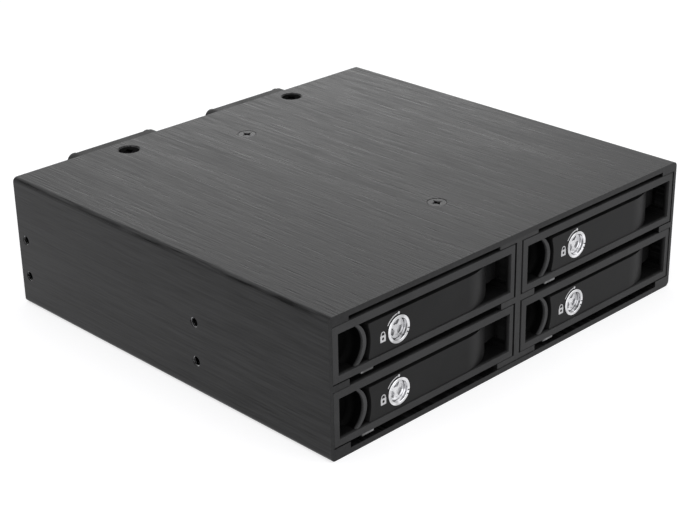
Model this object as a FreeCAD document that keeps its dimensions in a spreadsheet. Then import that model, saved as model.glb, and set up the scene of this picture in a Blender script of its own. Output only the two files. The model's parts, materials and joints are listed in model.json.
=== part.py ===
import FreeCAD, Part
import math
import operator
import os

import Sketcher

# Hot swap drive cage: a metal housing the size of one 5.25 inch bay that holds four
# small drives, each on its own tray behind a locking lever. Millimetres, +Z up, the
# origin on the underside at the middle of the housing, the trays facing -Y.

doc = FreeCAD.newDocument("hot_swap_drive_cage")
sheet = doc.addObject("Spreadsheet::Sheet", "Sizes")


class Size:
    """A number, together with the sheet expression that it comes from."""

    def __init__(self, number, text=None):
        self.number = float(number)
        self.text = text if text else repr(round(float(number), 9))

    def __add__(self, other):
        return combined(self, "+", other)

    def __radd__(self, other):
        return combined(other, "+", self)

    def __sub__(self, other):
        return combined(self, "-", other)

    def __rsub__(self, other):
        return combined(other, "-", self)

    def __mul__(self, other):
        return combined(self, "*", other)

    def __rmul__(self, other):
        return combined(other, "*", self)

    def __truediv__(self, other):
        return combined(self, "/", other)

    def __neg__(self):
        return combined(-1, "*", self)


ARITHMETIC = {"+": operator.add, "-": operator.sub, "*": operator.mul, "/": operator.truediv}


def as_size(value):
    return value if isinstance(value, Size) else Size(value)


def combined(left, sign, right):
    left = as_size(left)
    right = as_size(right)
    number = ARITHMETIC[sign](left.number, right.number)
    return Size(number, "(%s %s %s)" % (left.text, sign, right.text))


def bind(thing, field, value):
    """Tie one property of an object to the sheet."""
    thing.setExpression(field, as_size(value).text)


class Sheet:
    """The driving dimensions, each kept in the sheet under its own name."""

    def __init__(self):
        self.row = 0

    def __setattr__(self, name, value):
        if name != "row":
            cell = "B%d" % self.row
            sheet.set("A%d" % self.row, name)
            sheet.set(cell, str(value))
            sheet.setAlias(cell, name)
            value = Size(value, "Sizes." + name)
        self.__dict__[name] = value
        self.__dict__["row"] = self.row + 1 if self.row else 1


s = Sheet()

# Housing: an extruded tube with guide ribs along both inner sides
s.housing_width = 146.0
s.housing_height = 41.3
s.housing_depth = 136.0
s.top_wall = 1.65
s.side_wall = 1.15
s.edge_round = 1.5
s.rib_reach = 7.0
s.bottom_rib = 1.8
s.middle_rib = 1.85
s.top_rib = 1.25
s.side_hole_radius = 1.5
s.side_hole_front = 53.0
s.side_hole_span = 79.25
s.side_hole_low = 9.93
s.side_hole_rise = 11.91
s.tap_drill_radius = 1.25
s.tap_drill_deep = 2.4

# Clearances between a tray and what guides it
s.under_gap = 0.15
s.over_gap = 0.3
s.side_gap = 0.25
s.web_gap = 0.7
s.tray_recess = 0.2
s.running_gap = 0.05
s.seat_gap = 0.02

# Centre divider and the screws that hold it and the back plate
s.web_thickness = 2.2
s.flange_width = 16.2
s.shelf_width = 14.2
s.notch_deep = 0.75
s.sink_land = 0.15
s.divider_screw_head = 3.0
s.divider_screw_shank = 1.25
s.divider_screw_front = 31.0
s.divider_screw_span = 82.0
s.divider_screw_grip = 1.1
s.plate_screw_head = 3.6
s.plate_screw_shank = 1.5
s.plate_screw_across = 34.4
s.plate_screw_back = 6.6
s.plate_screw_sunk = 0.35
s.plate_screw_grip = 1.15
s.divider_screw_sunk = 0.1

# Back plate, the board in front of it and what the board carries
s.plate_thickness = 1.2
s.plate_gap = 0.1
s.plate_flange_reach = 8.2
s.plate_flange_side = 9.85
s.board_thickness = 1.6
s.board_gap = 0.4
s.board_to_back = 10.4
s.rib_to_board = 0.5
s.receptacle_width = 41.8
s.receptacle_height = 6.0
s.receptacle_depth = 5.5
s.receptacle_left = 9.2
s.receptacle_rise = 3.5
s.signal_slot_width = 11.2
s.power_slot_width = 21.4
s.slot_height = 1.9
s.slot_deep = 4.4
s.slot_bridge = 2.3
s.air_window_width = 30.0
s.air_window_height = 6.0
s.air_window_low = 9.3
s.data_width = 14.3
s.data_spacing = 2.2
s.data_margin = 1.7
s.data_count = 4
s.data_mouth_width = 11.7
s.data_wall = 1.2
s.data_tongue_width = 8.4
s.power_height = 6.8
s.power_side = 4.05
s.power_to_fan = 0.6
s.power_wall = 1.3
s.power_mouth_height = 4.4
s.power_tongue_side = 2.7
s.tongue_thickness = 1.2
s.mouth_deep = 6.5
s.connector_shy = 0.2
s.window_gap = 0.3
s.standoff_radius = 2.6
s.standoff_side = 5.85
s.standoff_low = 6.5
s.board_screw_shank = 1.25
s.board_screw_length = 4.0
s.board_screw_head = 2.2
s.board_screw_head_height = 1.2
s.led_width = 4.0
s.led_height = 1.0
s.led_depth = 1.2

# Fans behind the back plate
s.fan_size = 35.0
s.fan_depth = 10.0
s.fan_corner = 3.0
s.fan_across = 28.3
s.fan_duct_radius = 16.5
s.strut_root = 0.5
s.fan_hole_span = 29.0
s.fan_hole_radius = 1.6
s.fan_screw_shank = 1.4
s.fan_screw_head = 2.6
s.fan_screw_head_height = 1.6
s.motor_radius = 8.2
s.motor_plate = 1.3
s.strut_width = 2.4
s.hub_radius = 8.0
s.hub_front = 0.7
s.hub_back = 8.2
s.hub_wall = 1.2
s.shaft_radius = 0.75
s.bearing_radius = 2.2
s.bearing_length = 4.5
s.blade_thickness = 0.9
s.blade_front = 1.6
s.blade_back = 7.6
s.blade_tip_radius = 15.4
s.blade_sweep = 5.0
s.blade_camber = 9.0
s.blade_count = 7

# Tray bezel
s.rim_left = 2.0
s.rim_right = 1.5
s.rim_top = 2.3
s.rim_bottom = 2.0
s.bezel_depth = 15.0
s.bezel_back_wall = 2.0
s.claw_slot_front = 1.7
s.claw_slot_foot = 0.55
s.claw_slot_height = 8.1
s.claw_slot_reach = 9.5
s.button_wall = 1.0

# Release button in the left end of the bezel
s.button_gap = 0.15
s.button_front = 0.4
s.button_depth = 6.6
s.button_end = 7.2
s.button_bulge = 2.95
s.lip_width = 1.2
s.scoop_deep = 4.6
s.scoop_round = 2.0
s.spring_thickness = 0.3
s.spring_width = 6.0
s.spring_foot = 1.4

# Lever that covers the rest of the bezel
s.lever_front = 0.3
s.lever_foot_gap = 0.1
s.lever_head_gap = 1.3
s.crescent_gap = 0.75
s.crescent_hollow = 0.7
s.crescent_radius = 14.0
s.lever_depth = 6.2
s.lever_skin = 1.8
s.lever_flange = 1.2
s.lever_sweep_length = 12.9
s.lever_sweep_deep = 5.0
s.lever_end_gap = 4.4
s.pivot_from_right = 8.5
s.pivot_back = 6.0
s.pin_radius = 1.0
s.pin_short = 0.3
s.pivot_wall_back = 1.6
s.pivot_wall_side = 1.9
s.pivot_web_slope = 2.0
s.claw_short = 0.4
s.claw_height = 6.5
s.claw_front = 6.6
s.claw_back = 9.4
s.latch_reach = 0.4
s.latch_thickness = 1.2
s.latch_height = 4.5

# Lock in the lever, and the lug that its cam turns behind
s.lock_from_left = 24.1
s.lock_share = 0.4348
s.cup_radius = 4.0
s.cup_bore = 3.1
s.cup_front = 0.1
s.cup_flange = 1.2
s.barrel_radius = 3.5
s.barrel_back = 8.8
s.plug_face_back = 1.4
s.plug_head = 0.8
s.plug_radius = 2.6
s.plug_head_gap = 0.1
s.kidney_inner = 0.95
s.kidney_outer = 2.3
s.kidney_deep = 0.9
s.kidney_spread = 36.0
s.kidney_count = 3
s.boss_margin = 0.2
s.lug_gap = 0.3
s.cam_radius = 1.6
s.cam_reach = 5.3
s.cam_thickness = 1.0
s.cam_gap = 0.35
s.lug_width = 4.2
s.lug_clearance = 0.9
s.lug_thickness = 1.3

# Carrier plate under the drive
s.carrier_thickness = 1.2
s.carrier_side = 0.1
s.carrier_back = 116.0
s.carrier_flange = 1.2
s.carrier_flange_height = 11.0
s.carrier_flange_side = 3.0
s.vent_width = 14.0
s.vent_length = 21.0
s.vent_across = 19.0
s.vent_pitch = 26.0
s.vent_front = 36.0
s.vent_rows = 3
s.drive_hole_radius = 1.7
s.drive_hole_sink = 0.5
s.drive_hole_across = 61.72
s.drive_hole_span = 76.6
s.drive_hole_front = 30.9
s.bezel_screw_head = 2.2
s.bezel_screw_shank = 1.0
s.bezel_screw_side = 16.0
s.bezel_screw_up = 5.5
s.bezel_screw_sunk = 0.05
s.bezel_screw_reach = 1.7
s.pipe_left = 10.0
s.pipe_width = 4.4
s.pipe_thickness = 0.65
s.pipe_front = 0.1
s.pipe_to_led = 0.4

# How far a cut runs past the faces that it opens, and what counts as touching
EDGE = 1.0
TOUCH = 1e-4

# Places that follow from the sizes
half_width = s.housing_width / 2
half_inside = half_width - s.side_wall
half_open = half_width - s.rib_reach
ceiling = s.housing_height - s.top_wall
tray_width = half_inside - s.web_thickness / 2 - s.side_gap - s.web_gap
ribs_and_gaps = s.bottom_rib + s.middle_rib + s.top_rib + 2 * s.under_gap + 2 * s.over_gap
tray_height = (s.housing_height - 2 * s.top_wall - ribs_and_gaps) / 2
bay_height = s.under_gap + tray_height + s.over_gap
lower_floor = s.top_wall + s.bottom_rib
lower_top = lower_floor + bay_height
upper_floor = lower_top + s.middle_rib
upper_top = upper_floor + bay_height
board_back = s.housing_depth - s.board_to_back
board_front = board_back - s.board_thickness
rib_back = board_front - s.rib_to_board
plate_front = s.housing_depth - s.plate_thickness
fan_height = s.housing_height / 2
standoff_across = half_inside - s.standoff_side
data_room = ceiling - s.top_wall - 2 * s.plate_thickness - 2 * s.data_margin
data_height = (data_room - (s.data_count - 1) * s.data_spacing) / s.data_count
data_pitch = data_height + s.data_spacing
fan_side = s.fan_across + s.fan_size / 2
power_width = half_inside - s.power_side - fan_side - s.power_to_fan
power_across = half_inside - s.power_side - power_width / 2

COLUMNS = {"left": -s.web_thickness / 2 - s.web_gap - tray_width, "right": s.web_thickness / 2 + s.web_gap}
ROWS = {"lower": lower_floor + s.under_gap, "upper": upper_floor + s.under_gap}
TRAYS = [(row + "_" + side, COLUMNS[side], ROWS[row]) for row in ROWS for side in COLUMNS]

window_right = tray_width - s.rim_right
window_top = tray_height - s.rim_top
lever_low = s.rim_bottom + s.lever_foot_gap
lever_top = window_top - s.lever_head_gap
lever_left = s.rim_left + s.button_gap + s.button_end + s.button_bulge + s.crescent_gap
lever_right = window_right - s.lever_end_gap
lever_middle = (lever_low + lever_top) / 2
claw_slot_low = lever_middle - s.claw_height / 2 - s.claw_slot_foot
pivot_across = tray_width - s.pivot_from_right
lock_up = s.lock_share * tray_height
boss_radius = lock_up - lever_low - s.boss_margin
lug_low = lock_up + s.barrel_radius + s.lug_clearance
boss_back = s.barrel_back - s.lug_thickness - s.lug_gap
carrier_front = s.bezel_depth
well_back = s.bezel_depth - s.bezel_back_wall

parts = []


def place(thing, across=0, back=0, up=0):
    bind(thing, "Placement.Base.x", across)
    bind(thing, "Placement.Base.y", back)
    bind(thing, "Placement.Base.z", up)


def new_body(label, across=0, back=0, up=0):
    """A body whose own Y counts back from the front of the housing."""
    body = doc.addObject("PartDesign::Body", label)
    body.Label = label
    place(body, across, back - s.housing_depth / 2, up)
    parts.append(body)
    return body


PLANES = {"XY": ("XY_Plane", 1), "XZ": ("XZ_Plane", -1), "YZ": ("YZ_Plane", 1)}


def new_sketch(body, plane, start):
    """An empty drawing on one of the body's planes, moved along that plane's axis."""
    role, sense = PLANES[plane]
    sketch = body.newObject("Sketcher::SketchObject", body.Label + "_sketch")
    support = [face for face in body.Origin.OriginFeatures if face.Role == role][0]
    sketch.AttachmentSupport = [(support, "")]
    sketch.MapMode = "FlatFace"
    bind(sketch, "AttachmentOffset.Base.z", sense * as_size(start))
    return sketch


def tie(sketch, kind, targets, value):
    """One dimension of a drawing, tied to the sheet."""
    value = as_size(value)
    index = sketch.addConstraint(Sketcher.Constraint(kind, *targets, value.number))
    bind(sketch, "Constraints[%d]" % index, value)


def point_between(start, end, radius, side):
    """The middle of an arc that bulges to the left (1) or right (-1) of its way."""
    across = end[0] - start[0]
    along = end[1] - start[1]
    chord = math.hypot(across, along)
    rise = radius - math.sqrt(radius * radius - chord * chord / 4)
    middle_x = (start[0] + end[0]) / 2 - side * rise * along / chord
    middle_y = (start[1] + end[1]) / 2 + side * rise * across / chord
    return FreeCAD.Vector(middle_x, middle_y, 0)


def draw_outline(sketch, corners):
    """A closed outline; a corner with a radius and a side starts an arc."""
    first = sketch.GeometryCount
    count = len(corners)
    numbers = [(as_size(corner[0]).number, as_size(corner[1]).number) for corner in corners]
    for index, corner in enumerate(corners):
        start = numbers[index]
        end = numbers[(index + 1) % count]
        start_point = FreeCAD.Vector(*start, 0)
        end_point = FreeCAD.Vector(*end, 0)
        if len(corner) > 2:
            middle = point_between(start, end, as_size(corner[2]).number, corner[3])
            sketch.addGeometry(Part.Arc(start_point, middle, end_point), False)
        else:
            sketch.addGeometry(Part.LineSegment(start_point, end_point), False)
    starts = []
    for index in range(count):
        found = sketch.getPoint(first + index, 1)
        here = abs(found.x - numbers[index][0]) < 1e-6 and abs(found.y - numbers[index][1]) < 1e-6
        starts.append(1 if here else 2)
    for index, corner in enumerate(corners):
        following = (index + 1) % count
        joint = (first + index, 3 - starts[index], first + following, starts[following])
        sketch.addConstraint(Sketcher.Constraint("Coincident", *joint))
    for index, corner in enumerate(corners):
        tie(sketch, "DistanceX", (-1, 1, first + index, starts[index]), corner[0])
        tie(sketch, "DistanceY", (-1, 1, first + index, starts[index]), corner[1])
        if len(corner) > 2:
            tie(sketch, "Radius", (first + index,), corner[2])


def draw_circle(sketch, across, up, radius):
    index = sketch.GeometryCount
    centre = FreeCAD.Vector(as_size(across).number, as_size(up).number, 0)
    sketch.addGeometry(Part.Circle(centre, FreeCAD.Vector(0, 0, 1), as_size(radius).number), False)
    tie(sketch, "DistanceX", (-1, 1, index, 3), across)
    tie(sketch, "DistanceY", (-1, 1, index, 3), up)
    tie(sketch, "Radius", (index,), radius)


def rectangle(left, low, right, high):
    return [(left, low), (right, low), (right, high), (left, high)]


def mirrored(corners):
    """Both halves of an outline that is given from the bottom up on its right half."""
    return corners + [(-as_size(across), up) for across, up in reversed(corners)]


def circle(across, up, radius):
    return ("circle", across, up, radius)


def drawing(body, plane, start, shapes):
    sketch = new_sketch(body, plane, start)
    for shape in shapes:
        if shape[0] == "circle":
            draw_circle(sketch, *shape[1:])
        else:
            draw_outline(sketch, shape)
    return sketch


def extrusion(body, kind, plane, start, length, shapes):
    """Extrude shapes from start towards the plane's own axis, as a pad or a pocket."""
    sketch = drawing(body, plane, start, shapes)
    feature = body.newObject("PartDesign::" + kind, body.Label + "_" + kind.lower())
    feature.Profile = sketch
    feature.Reversed = (kind == "Pad") == (plane == "XZ")
    bind(feature, "Length", length)
    sketch.Visibility = False
    return feature


def add(body, plane, start, length, *shapes):
    return extrusion(body, "Pad", plane, start, length, shapes)


def cut(body, plane, start, length, *shapes):
    return extrusion(body, "Pocket", plane, start, length, shapes)


def turned(body, corners):
    """A solid of revolution about the body's own Y axis."""
    sketch = drawing(body, "XY", 0, [corners])
    feature = body.newObject("PartDesign::Revolution", body.Label + "_turned")
    feature.Profile = sketch
    feature.ReferenceAxis = (sketch, ["V_Axis"])
    feature.Angle = 360
    return feature


def repeat_round(body, feature, count):
    """Repeat one feature about the body's own Y axis."""
    axis = [line for line in body.Origin.OriginFeatures if line.Role == "Y_Axis"][0]
    pattern = body.newObject("PartDesign::PolarPattern", body.Label + "_pattern")
    pattern.Originals = [feature]
    pattern.Axis = (axis, [""])
    pattern.Angle = 360
    bind(pattern, "Occurrences", count)
    body.Tip = pattern
    return pattern


def dress(body, kind, size, test):
    """A fillet or chamfer on the edges of the body that pass a test."""
    doc.recompute()
    base = body.Tip
    box = base.Shape.BoundBox
    names = ["Edge%d" % (n + 1) for n, edge in enumerate(base.Shape.Edges) if test(edge, box)]
    feature = body.newObject("PartDesign::" + kind, body.Label + "_" + kind.lower())
    feature.Base = (base, names)
    bind(feature, "Radius" if kind == "Fillet" else "Size", size)
    return feature


def is_line(edge):
    return isinstance(edge.Curve, Part.Line)


def is_round(edge):
    return isinstance(edge.Curve, Part.Circle)


def near(first, second):
    return abs(first - second) < TOUCH


def build_housing_shell():
    """Extruded tube with three guide ribs along each side, milled away for the board."""
    body = new_body("housing_shell")
    add(body, "XZ", 0, s.housing_depth, rectangle(-half_width, 0, half_width, s.housing_height))

    def outer_corner(edge, box):
        return is_line(edge) and near(edge.BoundBox.YLength, box.YLength)

    dress(body, "Fillet", s.edge_round, outer_corner)
    bay = [
        (half_open, s.top_wall), (half_open, lower_floor), (half_inside, lower_floor),
        (half_inside, lower_top), (half_open, lower_top), (half_open, upper_floor),
        (half_inside, upper_floor), (half_inside, upper_top), (half_open, upper_top),
        (half_open, ceiling),
    ]
    cut(body, "XZ", -EDGE, s.housing_depth + 2 * EDGE, mirrored(bay))
    rear_length = s.housing_depth - rib_back + EDGE
    cut(body, "XZ", rib_back, rear_length, rectangle(-half_inside, s.top_wall, half_inside, ceiling))
    for radius, deep in ((s.side_hole_radius, s.side_wall), (s.tap_drill_radius, s.tap_drill_deep)):
        side_holes = [circle(y, z, radius) for y, z in side_hole_places()]
        cut(body, "YZ", -half_width - EDGE, deep + EDGE, *side_holes)
        cut(body, "YZ", half_width - deep, deep + EDGE, *side_holes)
    notches = [claw_notch(ROWS[row]) for row in ROWS]
    cut(body, "YZ", half_inside - EDGE, s.notch_deep + EDGE, *notches)
    sink = s.top_wall - s.sink_land
    screw_holes = [circle(x, y, s.divider_screw_head - sink) for x, y in divider_screw_places()]
    screw_holes += [circle(x, y, s.plate_screw_head - sink) for x, y in plate_screw_places()]
    cut(body, "XY", -EDGE, s.top_wall + 2 * EDGE, *screw_holes)
    cut(body, "XY", ceiling - EDGE, s.top_wall + 2 * EDGE, *screw_holes)

    def mouth_of_screw_hole(edge, box):
        flat = is_round(edge) and edge.BoundBox.ZLength < TOUCH and edge.Closed
        return flat and (near(edge.BoundBox.ZMin, box.ZMin) or near(edge.BoundBox.ZMax, box.ZMax))

    dress(body, "Chamfer", sink, mouth_of_screw_hole)


def side_hole_places():
    return [(s.side_hole_front + along * s.side_hole_span, s.side_hole_low + up * s.side_hole_rise)
            for along in (0, 1) for up in (0, 1)]


def claw_notch(floor):
    """The blind notch in the wall beside a lever's claw."""
    low = floor + claw_slot_low
    front = s.tray_recess + s.claw_front - s.claw_short
    back = s.tray_recess + s.bezel_depth
    return rectangle(front, low, back, low + s.claw_slot_height)


def divider_screw_places():
    return [(0, s.divider_screw_front), (0, s.divider_screw_front + s.divider_screw_span)]


def plate_screw_places():
    back = s.housing_depth - s.plate_screw_back
    return [(-s.plate_screw_across, back), (s.plate_screw_across, back)]


def build_center_divider():
    """Flanged web between the two columns of trays, screwed to the top and the bottom."""
    body = new_body("center_divider")
    web = s.web_thickness / 2
    flange = s.flange_width / 2
    shelf = s.shelf_width / 2
    profile = [
        (flange, s.top_wall), (flange, lower_floor), (web, lower_floor), (web, lower_top),
        (shelf, lower_top), (shelf, upper_floor), (web, upper_floor), (web, upper_top),
        (flange, upper_top), (flange, ceiling),
    ]
    add(body, "XZ", s.tray_recess, rib_back - s.tray_recess, mirrored(profile))
    notches = [claw_notch(ROWS[row]) for row in ROWS]
    cut(body, "YZ", -web - EDGE, s.notch_deep + EDGE, *notches)
    holes = [circle(x, y, s.divider_screw_shank + s.seat_gap) for x, y in divider_screw_places()]
    cut(body, "XY", s.top_wall - EDGE, s.divider_screw_grip + EDGE, *holes)
    cut(body, "XY", ceiling - s.divider_screw_grip, s.divider_screw_grip + EDGE, *holes)


DIRECTIONS = {
    "up": (0, (0, 0, 1)),
    "down": (180, (0, 0, -1)),
    "forward": (90, (0, -1, 0)),
    "backward": (-90, (0, 1, 0)),
}


# Small screws are many-sided bars, which keeps the repeated faces few
HEAD_SIDES = 12
SHANK_SIDES = 6
BAR_SIDES = 6


def along_screw(direction, start, distance):
    """The point a distance along a screw from its starting point."""
    way = DIRECTIONS[direction][1]
    return [as_size(base) + step * distance if step else base for base, step in zip(start, way)]


def screw_piece(kind, name, direction, start, radius=None, sides=None):
    piece = doc.addObject("Part::" + kind, name)
    if sides:
        piece.Polygon = sides
    if radius is not None:
        bind(piece, "Circumradius" if sides else "Radius", radius)
    piece.Placement.Rotation = FreeCAD.Rotation(FreeCAD.Vector(1, 0, 0), DIRECTIONS[direction][0])
    place(piece, *start)
    return piece


def countersunk_screw(name, direction, start, head, sunk, wall, shank, grip):
    """A flat head in a wall, and a shank that goes on into the piece behind it."""
    ease = s.seat_gap
    cone = screw_piece("Cone", name + "_head", direction, along_screw(direction, start, sunk))
    bind(cone, "Radius1", head - sunk - ease)
    bind(cone, "Radius2", head - wall - ease)
    bind(cone, "Height", wall - sunk)
    buried = along_screw(direction, start, sunk)
    shaft = screw_piece("Prism", name + "_shank", direction, buried, shank, SHANK_SIDES)
    bind(shaft, "Height", wall - sunk + grip - ease)
    return joined("Part::Fuse", name, cone, shaft)


def pan_head_screw(name, direction, start, head, head_height, shank, length):
    """A flat head standing on a face, and its shank."""
    raised = along_screw(direction, start, -as_size(head_height))
    top = screw_piece("Prism", name + "_head", direction, raised, head, HEAD_SIDES)
    bind(top, "Height", head_height)
    shaft = screw_piece("Prism", name + "_shank", direction, raised, shank, SHANK_SIDES)
    bind(shaft, "Height", head_height + length)
    return joined("Part::Fuse", name, top, shaft)


def joined(kind, name, base, tool):
    whole = doc.addObject(kind, name)
    whole.Base = base
    whole.Tool = tool
    return whole


def group(label, members, across=0, back=0, up=0):
    """Like solids that share one node."""
    whole = doc.addObject("Part::Compound", label)
    whole.Label = label
    whole.Links = members
    place(whole, across, back - s.housing_depth / 2, up)
    parts.append(whole)
    return whole


def build_shell_screws():
    """Flat-head screws through the top and bottom of the housing."""
    divider_set = []
    plate_set = []
    for direction, level in (("up", 0), ("down", s.housing_height)):
        for n, (x, y) in enumerate(divider_screw_places()):
            name = "divider_screw_%s_%d" % (direction, n)
            sizes = (s.divider_screw_head, s.divider_screw_sunk, s.top_wall, s.divider_screw_shank)
            screw = countersunk_screw(name, direction, (x, y, level), *sizes, s.divider_screw_grip)
            divider_set.append(screw)
        for n, (x, y) in enumerate(plate_screw_places()):
            name = "plate_screw_%s_%d" % (direction, n)
            sizes = (s.plate_screw_head, s.plate_screw_sunk, s.top_wall, s.plate_screw_shank)
            screw = countersunk_screw(name, direction, (x, y, level), *sizes, s.plate_screw_grip)
            plate_set.append(screw)
    group("divider_screws", divider_set)
    group("back_plate_screws", plate_set)


def fan_centres():
    return [-s.fan_across, s.fan_across]


def fan_screw_places():
    reach = s.fan_hole_span / 2
    return [(x + across * reach, fan_height + up * reach)
            for x in fan_centres() for across in (-1, 1) for up in (-1, 1)]


def standoff_places():
    heights = (s.standoff_low, s.housing_height - s.standoff_low)
    return [(across * standoff_across, z) for across in (-1, 1) for z in heights]


def data_levels():
    middle = (s.data_count - 1) / 2
    return [fan_height + (n - middle) * data_pitch for n in range(int(s.data_count.number))]


def block(centre_x, centre_z, width, height):
    left = centre_x - width / 2
    low = centre_z - height / 2
    return rectangle(left, low, left + width, low + height)


def build_back_plate():
    """Sheet plate with a flange along its top and bottom, which the shell screws reach."""
    body = new_body("back_plate")
    side = half_inside - s.plate_gap
    add(body, "XZ", plate_front, s.plate_thickness, rectangle(-side, s.top_wall, side, ceiling))
    reach = s.plate_flange_reach
    half_flange = half_inside - s.plate_flange_side
    for low in (s.top_wall, ceiling - s.plate_thickness):
        flange = rectangle(-half_flange, low, half_flange, low + s.plate_thickness)
        add(body, "XZ", plate_front - reach, reach, flange)
    tapped = [circle(x, y, s.plate_screw_shank + s.seat_gap) for x, y in plate_screw_places()]
    cut(body, "XY", s.top_wall - EDGE, s.plate_thickness + 2 * EDGE, *tapped)
    cut(body, "XY", ceiling - s.plate_thickness - EDGE, s.plate_thickness + 2 * EDGE, *tapped)
    openings = [circle(x, fan_height, s.fan_duct_radius) for x in fan_centres()]
    openings += [circle(x, z, s.fan_screw_shank + s.seat_gap) for x, z in fan_screw_places()]
    openings += [circle(x, z, s.board_screw_shank + s.running_gap) for x, z in standoff_places()]
    gap = 2 * s.window_gap
    openings += [block(0, z, s.data_width + gap, data_height + gap) for z in data_levels()]
    openings += [block(across * power_across, fan_height, power_width + gap, s.power_height + gap)
                 for across in (-1, 1)]
    cut(body, "XZ", plate_front - EDGE, s.plate_thickness + 2 * EDGE, *openings)


def build_backplane_board():
    """Circuit board across the back of the bays, with a window over each receptacle for air."""
    body = new_body("backplane_board")
    side = half_inside - s.board_gap
    outline = rectangle(-side, s.top_wall + s.board_gap, side, ceiling - s.board_gap)
    add(body, "XZ", board_front, s.board_thickness, outline)
    holes = [circle(x, z, s.board_screw_shank + s.running_gap) for x, z in standoff_places()]
    for floor in ROWS.values():
        middle = floor + s.air_window_low + s.air_window_height / 2
        holes += [block(x, middle, s.air_window_width, s.air_window_height) for x in fan_centres()]
    cut(body, "XZ", board_front - EDGE, s.board_thickness + 2 * EDGE, *holes)


def build_drive_receptacles():
    """One slotted receptacle on the board for each drive."""
    body = new_body("drive_receptacles")
    front = board_front - s.receptacle_depth
    blocks = []
    slots = []
    rise = s.carrier_thickness + s.receptacle_rise
    for _, left, floor in TRAYS:
        x = left + s.receptacle_left
        z = floor + rise
        half = s.receptacle_height / 2
        blocks.append(rectangle(x, z - half, x + s.receptacle_width, z + half))
        margin = (s.receptacle_width - s.signal_slot_width - s.slot_bridge - s.power_slot_width) / 2
        signal = x + margin
        power = signal + s.signal_slot_width + s.slot_bridge
        low = z - s.slot_height / 2
        high = z + s.slot_height / 2
        slots.append(rectangle(signal, low, signal + s.signal_slot_width, high))
        slots.append(rectangle(power, low, power + s.power_slot_width, high))
    add(body, "XZ", front, s.receptacle_depth, *blocks)
    cut(body, "XZ", front - EDGE, s.slot_deep + EDGE, *slots)


def build_rear_connectors():
    """Data headers in a stack between the fans, and a power header outside each fan."""
    length = s.board_to_back - s.connector_shy
    mouth_front = s.housing_depth - s.connector_shy - s.mouth_deep
    body = new_body("data_connectors")
    bodies = [block(0, z, s.data_width, data_height) for z in data_levels()]
    add(body, "XZ", board_back, length, *bodies)
    for z in data_levels():
        mouth = block(0, z, s.data_mouth_width, data_height - 2 * s.data_wall)
        tongue = block(0, z, s.data_tongue_width, s.tongue_thickness)
        cut(body, "XZ", mouth_front, s.mouth_deep + EDGE, mouth, tongue)
    body = new_body("power_connectors")
    places = [across * power_across for across in (-1, 1)]
    bodies = [block(x, fan_height, power_width, s.power_height) for x in places]
    add(body, "XZ", board_back, length, *bodies)
    for x in places:
        mouth = block(x, fan_height, power_width - 2 * s.power_wall, s.power_mouth_height)
        tongue = block(x, fan_height, power_width - 2 * s.power_tongue_side, s.tongue_thickness)
        cut(body, "XZ", mouth_front, s.mouth_deep + EDGE, mouth, tongue)


def build_board_mounting():
    """Hexagonal standoffs from the back plate to the board, with a screw at each end."""
    length = plate_front - board_back
    standoffs = []
    screws = []
    for n, (x, z) in enumerate(standoff_places()):
        foot = (x, plate_front, z)
        hexagon = screw_piece("Prism", "standoff_bar_%d" % n, "forward", foot, s.standoff_radius, BAR_SIDES)
        bind(hexagon, "Height", length)
        past = (x, plate_front + EDGE, z)
        clear = s.board_screw_shank + s.seat_gap
        bore = screw_piece("Cylinder", "standoff_bore_%d" % n, "forward", past, clear)
        bind(bore, "Height", length + 2 * EDGE)
        standoffs.append(joined("Part::Cut", "standoff_%d" % n, hexagon, bore))
        head = (s.board_screw_head, s.board_screw_head_height, s.board_screw_shank)
        rear = pan_head_screw("plate_side_screw_%d" % n, "forward", (x, s.housing_depth, z), *head,
                              s.board_screw_length)
        front = pan_head_screw("board_side_screw_%d" % n, "backward", (x, board_front, z), *head,
                               s.board_screw_length)
        screws += [rear, front]
    group("board_standoffs", standoffs)
    group("board_screws", screws)


def build_status_leds():
    """A lamp on the board behind the end of each light pipe."""
    body = new_body("status_leds")
    lamps = []
    for _, left, floor in TRAYS:
        x = left + s.pipe_left + s.pipe_width / 2
        z = floor - s.pipe_thickness / 2
        lamps.append(block(x, z, s.led_width, s.led_height))
    add(body, "XZ", board_front - s.led_depth, s.led_depth, *lamps)


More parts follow.
